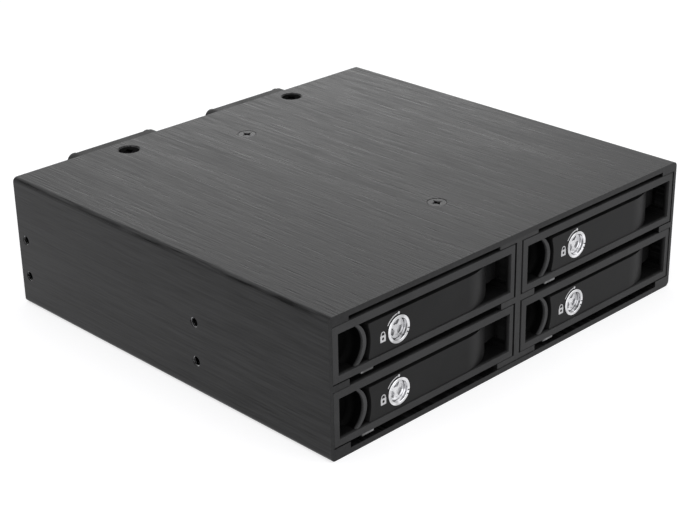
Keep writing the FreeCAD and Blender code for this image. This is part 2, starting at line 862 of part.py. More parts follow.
def build_fan(side, across):
    """Square fan frame round its duct, with a motor plate on four struts behind."""
    back = s.housing_depth
    frame = new_body("fan_frame_" + side, across, back, fan_height)
    half = s.fan_size / 2
    add(frame, "XZ", 0, s.fan_depth, rectangle(-half, -half, half, half))

    def frame_corner(edge, box):
        return is_line(edge) and near(edge.BoundBox.YLength, box.YLength)

    dress(frame, "Fillet", s.fan_corner, frame_corner)
    cut(frame, "XZ", -EDGE, s.fan_depth + 2 * EDGE, circle(0, 0, s.fan_duct_radius))
    reach = s.fan_hole_span / 2
    corners = [(x * reach, z * reach) for x in (-1, 1) for z in (-1, 1)]
    holes = [circle(x, z, s.fan_hole_radius) for x, z in corners]
    cut(frame, "XZ", -EDGE, s.fan_depth + 2 * EDGE, *holes)
    motor_front = s.fan_depth - s.motor_plate
    span = s.fan_duct_radius + s.strut_root
    strut = s.strut_width / 2
    add(frame, "XZ", motor_front, s.motor_plate, circle(0, 0, s.motor_radius))
    add(frame, "XZ", motor_front, s.motor_plate, rectangle(-span, -strut, span, strut))
    add(frame, "XZ", motor_front, s.motor_plate, rectangle(-strut, -span, strut, span))
    bearing_front = motor_front - s.bearing_length
    add(frame, "XZ", bearing_front, s.bearing_length, circle(0, 0, s.bearing_radius))
    bore = s.shaft_radius + s.running_gap
    cut(frame, "XZ", bearing_front - EDGE, s.bearing_length + EDGE, circle(0, 0, bore))

    rotor = new_body("fan_rotor_" + side, across, back, fan_height)
    inner = s.hub_radius - s.hub_wall
    cap_back = s.hub_front + s.hub_wall
    shaft_back = motor_front - s.running_gap
    turned(rotor, [
        (0, s.hub_front), (s.hub_radius, s.hub_front), (s.hub_radius, s.hub_back),
        (inner, s.hub_back), (inner, cap_back), (s.shaft_radius, cap_back),
        (s.shaft_radius, shaft_back), (0, shaft_back),
    ])
    root = s.hub_radius - s.hub_wall / 2
    blade = add(rotor, "YZ", root, s.blade_tip_radius - root, blade_section())
    repeat_round(rotor, blade, s.blade_count)


def blade_section():
    """A slanting, hollow-backed slice of a fan blade: depth first, then the way it turns."""
    half = s.blade_thickness / 2
    sweep = s.blade_sweep / 2
    return [
        (s.blade_front, -sweep - half), (s.blade_front, half - sweep, s.blade_camber, 1),
        (s.blade_back, sweep + half), (s.blade_back, sweep - half, s.blade_camber, -1),
    ]


def build_fan_screws():
    """Screws from behind, through the fan corners into the back plate."""
    back = s.housing_depth + s.fan_depth
    length = s.fan_depth + s.plate_thickness - s.window_gap
    sizes = (s.fan_screw_head, s.fan_screw_head_height, s.fan_screw_shank, length)
    screws = [pan_head_screw("fan_screw_%d" % n, "forward", (x, back, z), *sizes)
              for n, (x, z) in enumerate(fan_screw_places())]
    group("fan_screws", screws)


def build_bezel(tray, left, floor):
    """Moulded front of a tray: a deep rim round a well that holds the button and the lever."""
    body = new_body("bezel_" + tray, left, s.tray_recess, floor)
    add(body, "XZ", 0, s.bezel_depth, rectangle(0, 0, tray_width, tray_height))
    cut(body, "XZ", -EDGE, well_back + EDGE, rectangle(s.rim_left, s.rim_bottom, window_right, window_top))
    slot_top = claw_slot_low + s.claw_slot_height
    side_slot = rectangle(window_right - EDGE, claw_slot_low, tray_width + EDGE, slot_top)
    cut(body, "XZ", s.claw_slot_front, s.bezel_depth + EDGE, side_slot)
    back_slot_left = pivot_across - s.claw_slot_reach / 2
    back_slot = rectangle(back_slot_left, claw_slot_low, tray_width + EDGE, slot_top)
    cut(body, "XZ", well_back - EDGE, s.bezel_back_wall + 2 * EDGE, back_slot)
    wall_left = lever_left - s.crescent_gap / 2
    wall_front = s.lever_depth + 2 * s.button_wall
    wall = rectangle(wall_left, s.rim_bottom, wall_left + s.button_wall, window_top)
    add(body, "XZ", wall_front, well_back - wall_front, wall)
    lug_left = s.lock_from_left - s.lug_width / 2
    lug = rectangle(lug_left, lug_low, lug_left + s.lug_width, window_top)
    add(body, "XZ", s.barrel_back - s.lug_thickness, s.lug_thickness, lug)
    pin_hole = circle(pivot_across, s.pivot_back, s.pin_radius + s.seat_gap)
    cut(body, "XY", -EDGE, tray_height + 2 * EDGE, pin_hole)
    screw_front = s.bezel_depth - s.bezel_screw_reach
    screws = [circle(x, z, s.bezel_screw_shank + s.seat_gap) for x, z in bezel_screw_places()]
    cut(body, "XZ", screw_front, s.bezel_screw_reach + EDGE, *screws)


def bezel_screw_places():
    return [(s.bezel_screw_side, s.bezel_screw_up), (tray_width - s.bezel_screw_side, s.bezel_screw_up)]


def build_button(tray, left, floor):
    """Push button with a hollow for the fingertip and a curved lip on its right."""
    body = new_body("release_button_" + tray, left, s.tray_recess, floor)
    side = s.rim_left + s.button_gap
    low = s.rim_bottom + s.button_gap
    high = window_top - s.button_gap
    end = side + s.button_end
    tall = high - low
    bulge = s.button_bulge
    radius = (tall * tall / 4 + bulge * bulge) / (2 * bulge)
    face = [(side, low), (end, low, radius, -1), (end, high), (side, high)]
    add(body, "XZ", s.button_front, s.button_depth, face)
    inner_end = end - s.lip_width
    hollow = [
        (side - EDGE, low - EDGE), (inner_end, low - EDGE), (inner_end, low, radius, -1),
        (inner_end, high), (inner_end, high + EDGE), (side - EDGE, high + EDGE),
    ]
    cut(body, "XZ", s.button_front - EDGE, s.scoop_deep + EDGE, hollow)

    def foot_of_lip(edge, box):
        return is_round(edge) and edge.BoundBox.YLength < TOUCH and not near(edge.BoundBox.YMin, box.YMin) \
            and not near(edge.BoundBox.YMin, box.YMax)

    dress(body, "Fillet", s.scoop_round, foot_of_lip)


def build_button_spring(tray, left, floor):
    """Bent leaf between the button and the back of the well."""
    body = new_body("button_spring_" + tray, left, s.tray_recess, floor)
    front = s.button_front + s.button_depth
    side = s.rim_left + s.button_gap
    near_foot = side + s.spring_foot
    far_foot = side + s.button_end
    crown = (near_foot + far_foot) / 2
    thick = s.spring_thickness
    low = (s.rim_bottom + window_top - s.spring_width) / 2
    leaf = [
        (near_foot - s.spring_foot, well_back), (near_foot - s.spring_foot, well_back - thick),
        (near_foot, well_back - thick), (crown, front), (far_foot, well_back - thick),
        (far_foot + s.spring_foot, well_back - thick), (far_foot + s.spring_foot, well_back),
        (far_foot - thick / 2, well_back), (crown, front + 2 * thick), (near_foot + thick / 2, well_back),
    ]
    add(body, "XY", low, s.spring_width, leaf)


def build_lever(tray, left, floor):
    """Swinging front: a thin ribbed cover, swept back to its pivot, with a claw beyond it."""
    body = new_body("lever_" + tray, left, s.tray_recess, floor)
    flat_end = lever_right - s.lever_sweep_length
    swept = s.lever_front + s.lever_sweep_deep
    run = s.lever_sweep_length
    drop = s.lever_sweep_deep
    radius = (run * run + drop * drop) / (2 * drop)
    hub_back = s.pivot_back + s.pin_radius + s.pivot_wall_back
    hub_left = pivot_across - s.pin_radius - s.pivot_wall_side
    outline = [
        (lever_left, s.lever_front), (flat_end, s.lever_front, radius, -1), (lever_right, swept),
        (lever_right, hub_back), (hub_left, hub_back),
        (hub_left - s.pivot_web_slope, s.lever_depth), (lever_left, s.lever_depth),
    ]
    add(body, "XY", lever_low, lever_top - lever_low, outline)
    skin_back = s.lever_front + s.lever_skin
    hollow_left = lever_left + s.lever_skin
    hollow_right = flat_end
    hollow = rectangle(hollow_left, lever_low + s.lever_flange, hollow_right, lever_top - s.lever_flange)
    cut(body, "XZ", skin_back, s.lever_depth, hollow)
    lock = (s.lock_from_left, lock_up)
    add(body, "XZ", skin_back - s.seat_gap, boss_back - skin_back, circle(*lock, boss_radius))
    claw_low = lever_middle - s.claw_height / 2
    claw_tip = tray_width - s.claw_short
    claw = [
        (pivot_across, s.pivot_back - s.pin_radius), (claw_tip, s.claw_front), (claw_tip, s.claw_back),
        (pivot_across, hub_back),
    ]
    add(body, "XY", claw_low, s.claw_height, claw)
    latch_low = lever_middle - s.latch_height / 2
    latch_back = s.lever_depth
    latch_front = latch_back - s.latch_thickness
    latch = rectangle(lever_left - s.latch_reach, latch_front, lever_left + EDGE, latch_back)
    add(body, "XY", latch_low, s.latch_height, latch)
    hollow_centre = lever_left + s.crescent_hollow - s.crescent_radius
    crescent = circle(hollow_centre, lever_middle, s.crescent_radius)
    cut(body, "XZ", s.lever_front - EDGE, s.lever_depth - 2 * s.latch_thickness + EDGE, crescent)
    cut(body, "XZ", -EDGE, boss_back + 2 * EDGE, circle(*lock, s.barrel_radius + s.seat_gap))
    seat = s.cup_front + s.cup_flange
    cut(body, "XZ", -EDGE, seat + EDGE, circle(*lock, s.cup_radius + s.running_gap))
    pin_hole = circle(pivot_across, s.pivot_back, s.pin_radius + s.running_gap)
    cut(body, "XY", -EDGE, tray_height + 2 * EDGE, pin_hole)


def build_lever_pin(tray, left, floor):
    """Steel pin through the bezel's rim and the lever."""
    pin = doc.addObject("Part::Cylinder", "lever_pin_" + tray)
    pin.Label = "lever_pin_" + tray
    bind(pin, "Radius", s.pin_radius)
    bind(pin, "Height", tray_height - 2 * s.pin_short)
    back = s.tray_recess + s.pivot_back - s.housing_depth / 2
    place(pin, left + pivot_across, back, floor + s.pin_short)
    parts.append(pin)


def build_lock(tray, left, floor):
    """Chrome cup and barrel in the lever, and the keyed plug with its cam."""
    centre = (left + s.lock_from_left, s.tray_recess, floor + lock_up)
    barrel = new_body("lock_barrel_" + tray, *centre)
    seat = s.cup_front + s.cup_flange
    head_back = s.plug_face_back + s.plug_head + s.running_gap
    bore = s.plug_radius + s.running_gap
    turned(barrel, [
        (s.cup_bore, s.cup_front), (s.cup_radius, s.cup_front), (s.cup_radius, seat),
        (s.barrel_radius, seat), (s.barrel_radius, s.barrel_back), (bore, s.barrel_back),
        (bore, head_back), (s.cup_bore, head_back),
    ])
    plug = new_body("lock_plug_" + tray, *centre)
    cam_front = s.barrel_back + s.cam_gap
    cam_back = cam_front + s.cam_thickness
    head = s.cup_bore - s.plug_head_gap
    turned(plug, [
        (0, s.plug_face_back), (head, s.plug_face_back), (head, s.plug_face_back + s.plug_head),
        (s.plug_radius, s.plug_face_back + s.plug_head), (s.plug_radius, cam_front),
        (s.cam_radius, cam_front), (s.cam_radius, cam_back), (0, cam_back),
    ])
    add(plug, "XZ", cam_front, s.cam_thickness, rectangle(-s.cam_reach, -s.cam_radius, 0, s.cam_radius))
    spread = math.radians(s.kidney_spread.number)
    inner = s.kidney_inner
    outer = s.kidney_outer
    kidney = [
        (inner * math.sin(-spread), inner * math.cos(spread), inner, 1),
        (inner * math.sin(spread), inner * math.cos(spread)),
        (outer * math.sin(spread), outer * math.cos(spread), outer, -1),
        (outer * math.sin(-spread), outer * math.cos(spread)),
    ]
    pocket = cut(plug, "XZ", s.plug_face_back - EDGE, s.kidney_deep + EDGE, kidney)
    repeat_round(plug, pocket, s.kidney_count)


def build_carrier(tray, left, floor):
    """Sheet plate that the drive is screwed onto, turned up in front behind the bezel."""
    body = new_body("carrier_" + tray, left, s.tray_recess, floor)
    length = s.carrier_back - carrier_front
    right = tray_width - s.carrier_side
    add(body, "XY", 0, s.carrier_thickness, rectangle(s.carrier_side, carrier_front, right, s.carrier_back))
    flange_right = pivot_across - s.claw_slot_reach / 2 - s.carrier_side
    flange = rectangle(s.carrier_flange_side, 0, flange_right, s.carrier_flange_height)
    add(body, "XZ", carrier_front, s.carrier_flange, flange)
    across = tray_width / 2
    holes = [circle(across + x * s.drive_hole_across / 2, s.drive_hole_front + y * s.drive_hole_span,
                    s.drive_hole_radius) for x in (-1, 1) for y in (0, 1)]
    cut(body, "XY", -EDGE, s.carrier_thickness + 2 * EDGE, *holes)

    def underside_of_hole(edge, box):
        return is_round(edge) and edge.BoundBox.ZLength < TOUCH and near(edge.BoundBox.ZMin, box.ZMin)

    dress(body, "Chamfer", s.drive_hole_sink, underside_of_hole)
    half = s.vent_width / 2
    slots = [rectangle(across + x * s.vent_across - half, s.vent_front,
                       across + x * s.vent_across + half, s.vent_front + s.vent_length)
             for x in (-1, 0, 1)]
    vents = cut(body, "XY", -EDGE, s.carrier_thickness + 2 * EDGE, *slots)
    pattern = body.newObject("PartDesign::LinearPattern", body.Label + "_pattern")
    pattern.Originals = [vents]
    axis = [line for line in body.Origin.OriginFeatures if line.Role == "Y_Axis"][0]
    pattern.Direction = (axis, [""])
    bind(pattern, "Length", (s.vent_rows - 1) * s.vent_pitch)
    bind(pattern, "Occurrences", s.vent_rows)
    body.Tip = pattern
    sink = s.carrier_flange - s.sink_land
    screws = [circle(x, z, s.bezel_screw_head - sink) for x, z in bezel_screw_places()]
    cut(body, "XZ", carrier_front - EDGE, s.carrier_flange + 2 * EDGE, *screws)

    def back_of_flange_hole(edge, box):
        upright = is_round(edge) and edge.BoundBox.YLength < TOUCH
        return upright and edge.CenterOfMass.y > carrier_front.number + s.carrier_flange.number / 2

    dress(body, "Chamfer", sink, back_of_flange_hole)


def build_bezel_screws(tray, left, floor):
    """Flat-head screws through the carrier's flange into the bezel."""
    head = (s.bezel_screw_head, s.bezel_screw_sunk, s.carrier_flange, s.bezel_screw_shank)
    back = s.tray_recess + s.bezel_depth + s.carrier_flange
    screws = [countersunk_screw("bezel_screw_%s_%d" % (tray, n), "forward", (x, back, z), *head,
                                s.bezel_screw_reach - s.sink_land)
              for n, (x, z) in enumerate(bezel_screw_places())]
    group("bezel_screws_" + tray, screws, left, 0, floor)


def build_light_pipe(tray, left, floor):
    """Clear strip under the tray that brings the lamp's light to the front."""
    body = new_body("light_pipe_" + tray, left, s.tray_recess, floor)
    back = board_front - s.led_depth - s.pipe_to_led - s.tray_recess
    strip = rectangle(s.pipe_left, s.pipe_front, s.pipe_left + s.pipe_width, back)
    add(body, "XY", -s.pipe_thickness, s.pipe_thickness, strip)


def build_all():
    build_housing_shell()
    build_center_divider()
    build_shell_screws()
    build_back_plate()
    build_backplane_board()
    build_drive_receptacles()
    build_rear_connectors()
    build_board_mounting()
    build_status_leds()
    build_fan("left", -s.fan_across)
    build_fan("right", s.fan_across)
    build_fan_screws()
    for tray in TRAYS:
        build_bezel(*tray)
        build_carrier(*tray)
        build_bezel_screws(*tray)
        build_lever(*tray)
        build_lever_pin(*tray)
        build_button(*tray)
        build_button_spring(*tray)
        build_lock(*tray)
        build_light_pipe(*tray)


def check_and_write():
    """Stop on any failed object or bad shape, then write one file for each sub-part."""
    doc.recompute()
    for thing in doc.Objects:
        if "Invalid" in thing.State or "Error" in thing.State:
            raise RuntimeError("%s failed: %s" % (thing.Label, thing.State))
    for part in parts:
        shape = part.Shape
        if shape.isNull() or not shape.isValid() or not shape.Solids:
            raise RuntimeError("%s has no valid solid" % part.Label)
    os.makedirs("parts", exist_ok=True)
    for part in parts:
        part.Shape.exportStep("parts/%s.step" % part.Label)
    print("%d sub-parts written" % len(parts))


build_all()
check_and_write()
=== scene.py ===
import json
import math

import bmesh
import bpy
from mathutils import Euler, Matrix, Vector

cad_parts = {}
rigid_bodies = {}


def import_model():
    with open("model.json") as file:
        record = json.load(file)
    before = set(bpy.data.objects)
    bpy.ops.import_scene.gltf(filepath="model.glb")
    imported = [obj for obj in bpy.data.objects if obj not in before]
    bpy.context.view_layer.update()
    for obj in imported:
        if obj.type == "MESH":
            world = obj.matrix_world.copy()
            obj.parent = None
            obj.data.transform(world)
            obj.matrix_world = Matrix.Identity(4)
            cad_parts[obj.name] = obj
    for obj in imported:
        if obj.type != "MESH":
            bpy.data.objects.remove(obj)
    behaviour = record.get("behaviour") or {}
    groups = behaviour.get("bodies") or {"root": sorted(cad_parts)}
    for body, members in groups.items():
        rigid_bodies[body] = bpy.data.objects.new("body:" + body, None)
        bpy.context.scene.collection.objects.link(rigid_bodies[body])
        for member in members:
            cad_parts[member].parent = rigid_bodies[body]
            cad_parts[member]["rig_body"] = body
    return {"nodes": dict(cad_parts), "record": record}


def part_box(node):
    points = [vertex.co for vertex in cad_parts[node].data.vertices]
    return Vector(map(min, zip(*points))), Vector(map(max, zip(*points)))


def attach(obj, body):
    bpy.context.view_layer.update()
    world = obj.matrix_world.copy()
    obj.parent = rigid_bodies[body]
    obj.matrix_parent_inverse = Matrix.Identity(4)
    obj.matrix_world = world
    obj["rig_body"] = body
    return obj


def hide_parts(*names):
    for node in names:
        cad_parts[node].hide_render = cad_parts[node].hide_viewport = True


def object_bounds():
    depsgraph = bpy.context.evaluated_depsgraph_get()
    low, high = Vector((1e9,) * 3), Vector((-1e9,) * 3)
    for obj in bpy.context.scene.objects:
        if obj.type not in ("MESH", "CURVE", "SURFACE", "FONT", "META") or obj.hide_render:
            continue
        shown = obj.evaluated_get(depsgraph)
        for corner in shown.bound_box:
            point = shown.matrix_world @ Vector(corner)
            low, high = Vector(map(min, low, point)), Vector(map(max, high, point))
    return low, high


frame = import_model()
cad_low, cad_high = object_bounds()
scene = bpy.context.scene
scene.view_settings.view_transform = "Standard"

# Housing shell: an extruded aluminium tube, brushed from front to back and then
# anodised black. Its guide ribs are part of the extrusion; its front and rear edges
# are sawn square and broken by hand.
WELD = 1e-6
FLAT = math.radians(0.6)
SHARP = math.radians(32)


def add_piece(name, mesh, finish, body):
    """Put a finished mesh in the scene, on the body that carries it."""
    mesh.materials.clear()
    mesh.materials.append(finish)
    piece = bpy.data.objects.new(name, mesh)
    scene.collection.objects.link(piece)
    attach(piece, body)
    return piece


def modified_mesh(mesh, *steps):
    """The mesh with its modifiers applied in turn."""
    holder = bpy.data.objects.new("holder", mesh)
    scene.collection.objects.link(holder)
    for kind, settings in steps:
        modifier = holder.modifiers.new(kind, kind)
        for name, value in settings.items():
            setattr(modifier, name, value)
    depsgraph = bpy.context.evaluated_depsgraph_get()
    result = bpy.data.meshes.new_from_object(holder.evaluated_get(depsgraph))
    bpy.data.objects.remove(holder)
    return result


def shade_by_angle(mesh):
    """Round faces shade smooth, and real corners stay crisp."""
    mesh.shade_smooth()
    mesh.set_sharp_from_angle(angle=SHARP)


def rounding(width):
    """The step that rounds every real corner."""
    return "BEVEL", {"width": width, "segments": 2, "limit_method": "ANGLE", "angle_limit": SHARP}


def eased(node, finish, edge):
    """A copy of one piece with its facets joined and its edges rounded as made."""
    source = frame["nodes"][node]
    shape = bmesh.new()
    shape.from_mesh(source.data)
    bmesh.ops.remove_doubles(shape, verts=shape.verts, dist=WELD)
    bmesh.ops.dissolve_limit(shape, angle_limit=FLAT, verts=shape.verts, edges=shape.edges)
    mesh = bpy.data.meshes.new(node)
    shape.to_mesh(mesh)
    shape.free()
    shade_by_angle(mesh)
    even_shading = {"weight": 100, "keep_sharp": True}
    rounded = modified_mesh(mesh, rounding(edge), ("WEIGHTED_NORMAL", even_shading))
    piece = add_piece(node + "_eased", rounded, finish, source["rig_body"])
    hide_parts(node)


def new_material(name, metallic, reflection):
    """A material with its plain values set; what varies is added by dress."""
    material = bpy.data.materials.new(name)
    material.use_nodes = True
    shader = material.node_tree.nodes["Principled BSDF"]
    shader.inputs["Metallic"].default_value = metallic
    shader.inputs["Specular IOR Level"].default_value = reflection
    return material


def effect_group(name, inputs):
    """An empty shader group with the named inputs, and a shade and a height out."""
    group = bpy.data.node_groups.new(name, "ShaderNodeTree")
    for label, value in inputs.items():
        socket = group.interface.new_socket(label, in_out="INPUT", socket_type="NodeSocketFloat")
        socket.default_value = value
    for label in ("Shade", "Height"):
        group.interface.new_socket(label, in_out="OUTPUT", socket_type="NodeSocketFloat")
    return group, group.nodes.new("NodeGroupInput"), group.nodes.new("NodeGroupOutput")


def math_node(tree, operation, first, second):
    """One sum; a number or a socket may stand on either side."""
    node = tree.nodes.new("ShaderNodeMath")
    node.operation = operation
    for socket, value in zip(node.inputs, (first, second)):
        if isinstance(value, (int, float)):
            socket.default_value = value
        else:
            tree.links.new(value, socket)
    return node.outputs[0]


def scaled_noise(tree, per_metre, detail, seed):
    """Noise on object coordinates, with its own frequency along each axis."""
    place = tree.nodes.new("ShaderNodeTexCoord")
    stretch = tree.nodes.new("ShaderNodeVectorMath")
    stretch.operation = "MULTIPLY"
    tree.links.new(place.outputs["Object"], stretch.inputs[0])
    if isinstance(per_metre, tuple):
        stretch.inputs[1].default_value = per_metre
    else:
        tree.links.new(per_metre, stretch.inputs[1])
    noise = tree.nodes.new("ShaderNodeTexNoise")
    noise.noise_dimensions = "4D"
    noise.inputs["W"].default_value = seed
    noise.inputs["Scale"].default_value = 1
    noise.inputs["Detail"].default_value = detail
    tree.links.new(stretch.outputs[0], noise.inputs["Vector"])
    return noise.outputs["Fac"]


STROKE_STRETCH = 0.05
MIDDLE_STREAKS, BROAD_BANDS = (760, 30, 760), (150, 6, 150)
BAND_WEIGHT, STREAK_WEIGHT = 0.3, 0.7
SIDE_STRENGTH, SAWN_STRENGTH = 0.4, 0.2


def brushed_lines():
    """Long fine scratches along Y, fainter on the sides and all but gone on sawn faces."""
    inputs = {"Lines per metre": 1900, "Broad share": 0.35, "Fainter beyond": 1, "Sawn beyond": 1}
    group, given, out = effect_group("brushed_lines", inputs)
    across = given.outputs["Lines per metre"]
    frequency = group.nodes.new("ShaderNodeCombineXYZ")
    group.links.new(across, frequency.inputs["X"])
    group.links.new(math_node(group, "MULTIPLY", across, STROKE_STRETCH), frequency.inputs["Y"])
    group.links.new(across, frequency.inputs["Z"])
    fine = scaled_noise(group, frequency.outputs[0], detail=3, seed=1.5)
    middle = scaled_noise(group, MIDDLE_STREAKS, detail=3, seed=4.1)
    broad = scaled_noise(group, BROAD_BANDS, detail=2, seed=7.3)
    band_part = math_node(group, "MULTIPLY", broad, BAND_WEIGHT)
    slow = math_node(group, "ADD", band_part, math_node(group, "MULTIPLY", middle, STREAK_WEIGHT))
    share = given.outputs["Broad share"]
    rest = math_node(group, "SUBTRACT", 1, share)
    fine_part = math_node(group, "MULTIPLY", fine, rest)
    shade = math_node(group, "ADD", fine_part, math_node(group, "MULTIPLY", slow, share))
    place = group.nodes.new("ShaderNodeTexCoord")
    split = group.nodes.new("ShaderNodeSeparateXYZ")
    group.links.new(place.outputs["Object"], split.inputs[0])
    strength = 1
    for axis, limit, least in (
        ("X", "Fainter beyond", SIDE_STRENGTH), ("Y", "Sawn beyond", SAWN_STRENGTH),
    ):
        from_middle = math_node(group, "ABSOLUTE", split.outputs[axis], 0)
        within = math_node(group, "LESS_THAN", from_middle, given.outputs[limit])
        strength = math_node(group, "MULTIPLY", math_node(group, "MAXIMUM", within, least), strength)
    swing = math_node(group, "MULTIPLY", math_node(group, "SUBTRACT", shade, 0.5), strength)
    group.links.new(math_node(group, "ADD", swing, 0.5), out.inputs["Shade"])
    group.links.new(math_node(group, "MULTIPLY", fine, strength), out.inputs["Height"])
    return group


NOISE_LOW, NOISE_HIGH = 0.4, 0.6


def dress(material, group, values, dark, light, smooth, rough, relief):
    """Let an effect vary a material's colour, roughness and surface."""
    tree = material.node_tree
    shader = tree.nodes["Principled BSDF"]
    effect = tree.nodes.new("ShaderNodeGroup")
    effect.node_tree = group
    for label, value in values.items():
        effect.inputs[label].default_value = value
    spread = tree.nodes.new("ShaderNodeMapRange")
    spread.inputs["From Min"].default_value = NOISE_LOW
    spread.inputs["From Max"].default_value = NOISE_HIGH
    tree.links.new(effect.outputs["Shade"], spread.inputs["Value"])
    colour = tree.nodes.new("ShaderNodeValToRGB")
    colour.color_ramp.elements[0].color = (*dark, 1)
    colour.color_ramp.elements[1].color = (*light, 1)
    tree.links.new(spread.outputs[0], colour.inputs["Fac"])
    tree.links.new(colour.outputs["Color"], shader.inputs["Base Color"])
    gloss = tree.nodes.new("ShaderNodeMapRange")
    gloss.inputs["To Min"].default_value = smooth
    gloss.inputs["To Max"].default_value = rough
    tree.links.new(spread.outputs[0], gloss.inputs["Value"])
    tree.links.new(gloss.outputs[0], shader.inputs["Roughness"])
    bump = tree.nodes.new("ShaderNodeBump")
    bump.inputs["Strength"].default_value = 1
    bump.inputs["Distance"].default_value = relief
    tree.links.new(effect.outputs["Height"], bump.inputs["Height"])
    tree.links.new(bump.outputs["Normal"], shader.inputs["Normal"])


def grey(value):
    """A neutral tone, with a trace more blue than red and green."""
    return (value, value, value * 1.02)


brushed = brushed_lines()
SKIN = 0.00005
shell_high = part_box("housing_shell")[1]
sawn_end = shell_high.y - SKIN
faint_side = shell_high.x - 2 * SKIN
anodised = new_material("anodised_brushed", metallic=0.85, reflection=0.1)
strokes = {"Broad share": 0.5, "Fainter beyond": faint_side, "Sawn beyond": sawn_end}
dress(anodised, brushed, strokes, grey(0.01), grey(0.044),
      smooth=0.26, rough=0.48, relief=0.00012)
eased("housing_shell", anodised, edge=0.00022)

# Centre divider: a flanged aluminium extrusion between the two columns of trays,
# anodised over its faint drawing lines and held by four flat-head screws.
divider_black = new_material("divider_anodised", metallic=0.4, reflection=0.3)
dress(divider_black, brushed, {"Broad share": 0.7}, grey(0.014), grey(0.03),
      smooth=0.34, rough=0.5, relief=0.000002)
eased("center_divider", divider_black, edge=0.0002)

# Back plate and its flanges: folded sheet steel, powder coated black.
# It carries the fans and the board, and closes the housing behind.
PATCHES = (90, 90, 90)
GRAIN_WEIGHT, PATCH_WEIGHT = 0.45, 0.55


def moulded_grain():
    """The fine even pebble of a spark-eroded mould, with slow patches over it."""
    group, given, out = effect_group("moulded_grain", {"Grains per metre": 4500})
    size = group.nodes.new("ShaderNodeCombineXYZ")
    for axis in ("X", "Y", "Z"):
        group.links.new(given.outputs["Grains per metre"], size.inputs[axis])
    grain = scaled_noise(group, size.outputs[0], detail=2, seed=2.2)
    patch = scaled_noise(group, PATCHES, detail=2, seed=5.6)
    grain_part = math_node(group, "MULTIPLY", grain, GRAIN_WEIGHT)
    shade = math_node(group, "ADD", grain_part, math_node(group, "MULTIPLY", patch, PATCH_WEIGHT))
    group.links.new(shade, out.inputs["Shade"])
    group.links.new(grain, out.inputs["Height"])
    return group


grained = moulded_grain()
powder_coat = new_material("powder_coat", metallic=0, reflection=0.25)
dress(powder_coat, grained, {"Grains per metre": 2600}, grey(0.014), grey(0.028),
      smooth=0.45, rough=0.62, relief=0.00003)
eased("back_plate", powder_coat, edge=0.0002)

# Screws: cross-recessed, one node tree for all of them. The flat heads of the housing
# and the trays are turned with a cone, and the pan heads of the board and the fans
# have straight sides.
RECESS_SHARE, RECESS_ARM, RECESS_TAPER = 0.95, 0.5, 0.35
HEAD_EDGE, RECESS_EDGE = 0.1, 0.16
HEAD_SIDES, SHANK_SIDES = 40, 24
SPIN_STEP = 0.9
SCREW_SIZES = ("Head radius", "Neck radius", "Head height", "Shank radius", "Shank length", "Recess depth")


def copying_tree(name, sizes, kind="NodeSocketFloat"):
    """The start of a node tree that copies a shape to points, with its named inputs."""
    tree = bpy.data.node_groups.new(name, "GeometryNodeTree")
    tree.interface.new_socket("Geometry", in_out="INPUT", socket_type="NodeSocketGeometry")
    for label in sizes:
        tree.interface.new_socket(label, in_out="INPUT", socket_type=kind)
    tree.interface.new_socket("Finish", in_out="INPUT", socket_type="NodeSocketMaterial")
    tree.interface.new_socket("Geometry", in_out="OUTPUT", socket_type="NodeSocketGeometry")
    return tree, tree.nodes.new("NodeGroupInput").outputs


def copied_to_points(tree, given, shape, turn=None):
    """The end of such a tree: a real copy of the shape on every point, in its finish."""
    points = tree.nodes.new("GeometryNodeMeshToPoints")
    tree.links.new(given["Geometry"], points.inputs["Mesh"])
    copies = tree.nodes.new("GeometryNodeInstanceOnPoints")
    tree.links.new(points.outputs["Points"], copies.inputs["Points"])
    tree.links.new(shape, copies.inputs["Instance"])
    if turn is not None:
        tree.links.new(turn, copies.inputs["Rotation"])
    real = tree.nodes.new("GeometryNodeRealizeInstances")
    tree.links.new(copies.outputs["Instances"], real.inputs["Geometry"])
    finish = tree.nodes.new("GeometryNodeSetMaterial")
    tree.links.new(real.outputs["Geometry"], finish.inputs["Geometry"])
    tree.links.new(given["Finish"], finish.inputs["Material"])
    out = tree.nodes.new("NodeGroupOutput")
    tree.links.new(finish.outputs["Geometry"], out.inputs["Geometry"])
    return tree


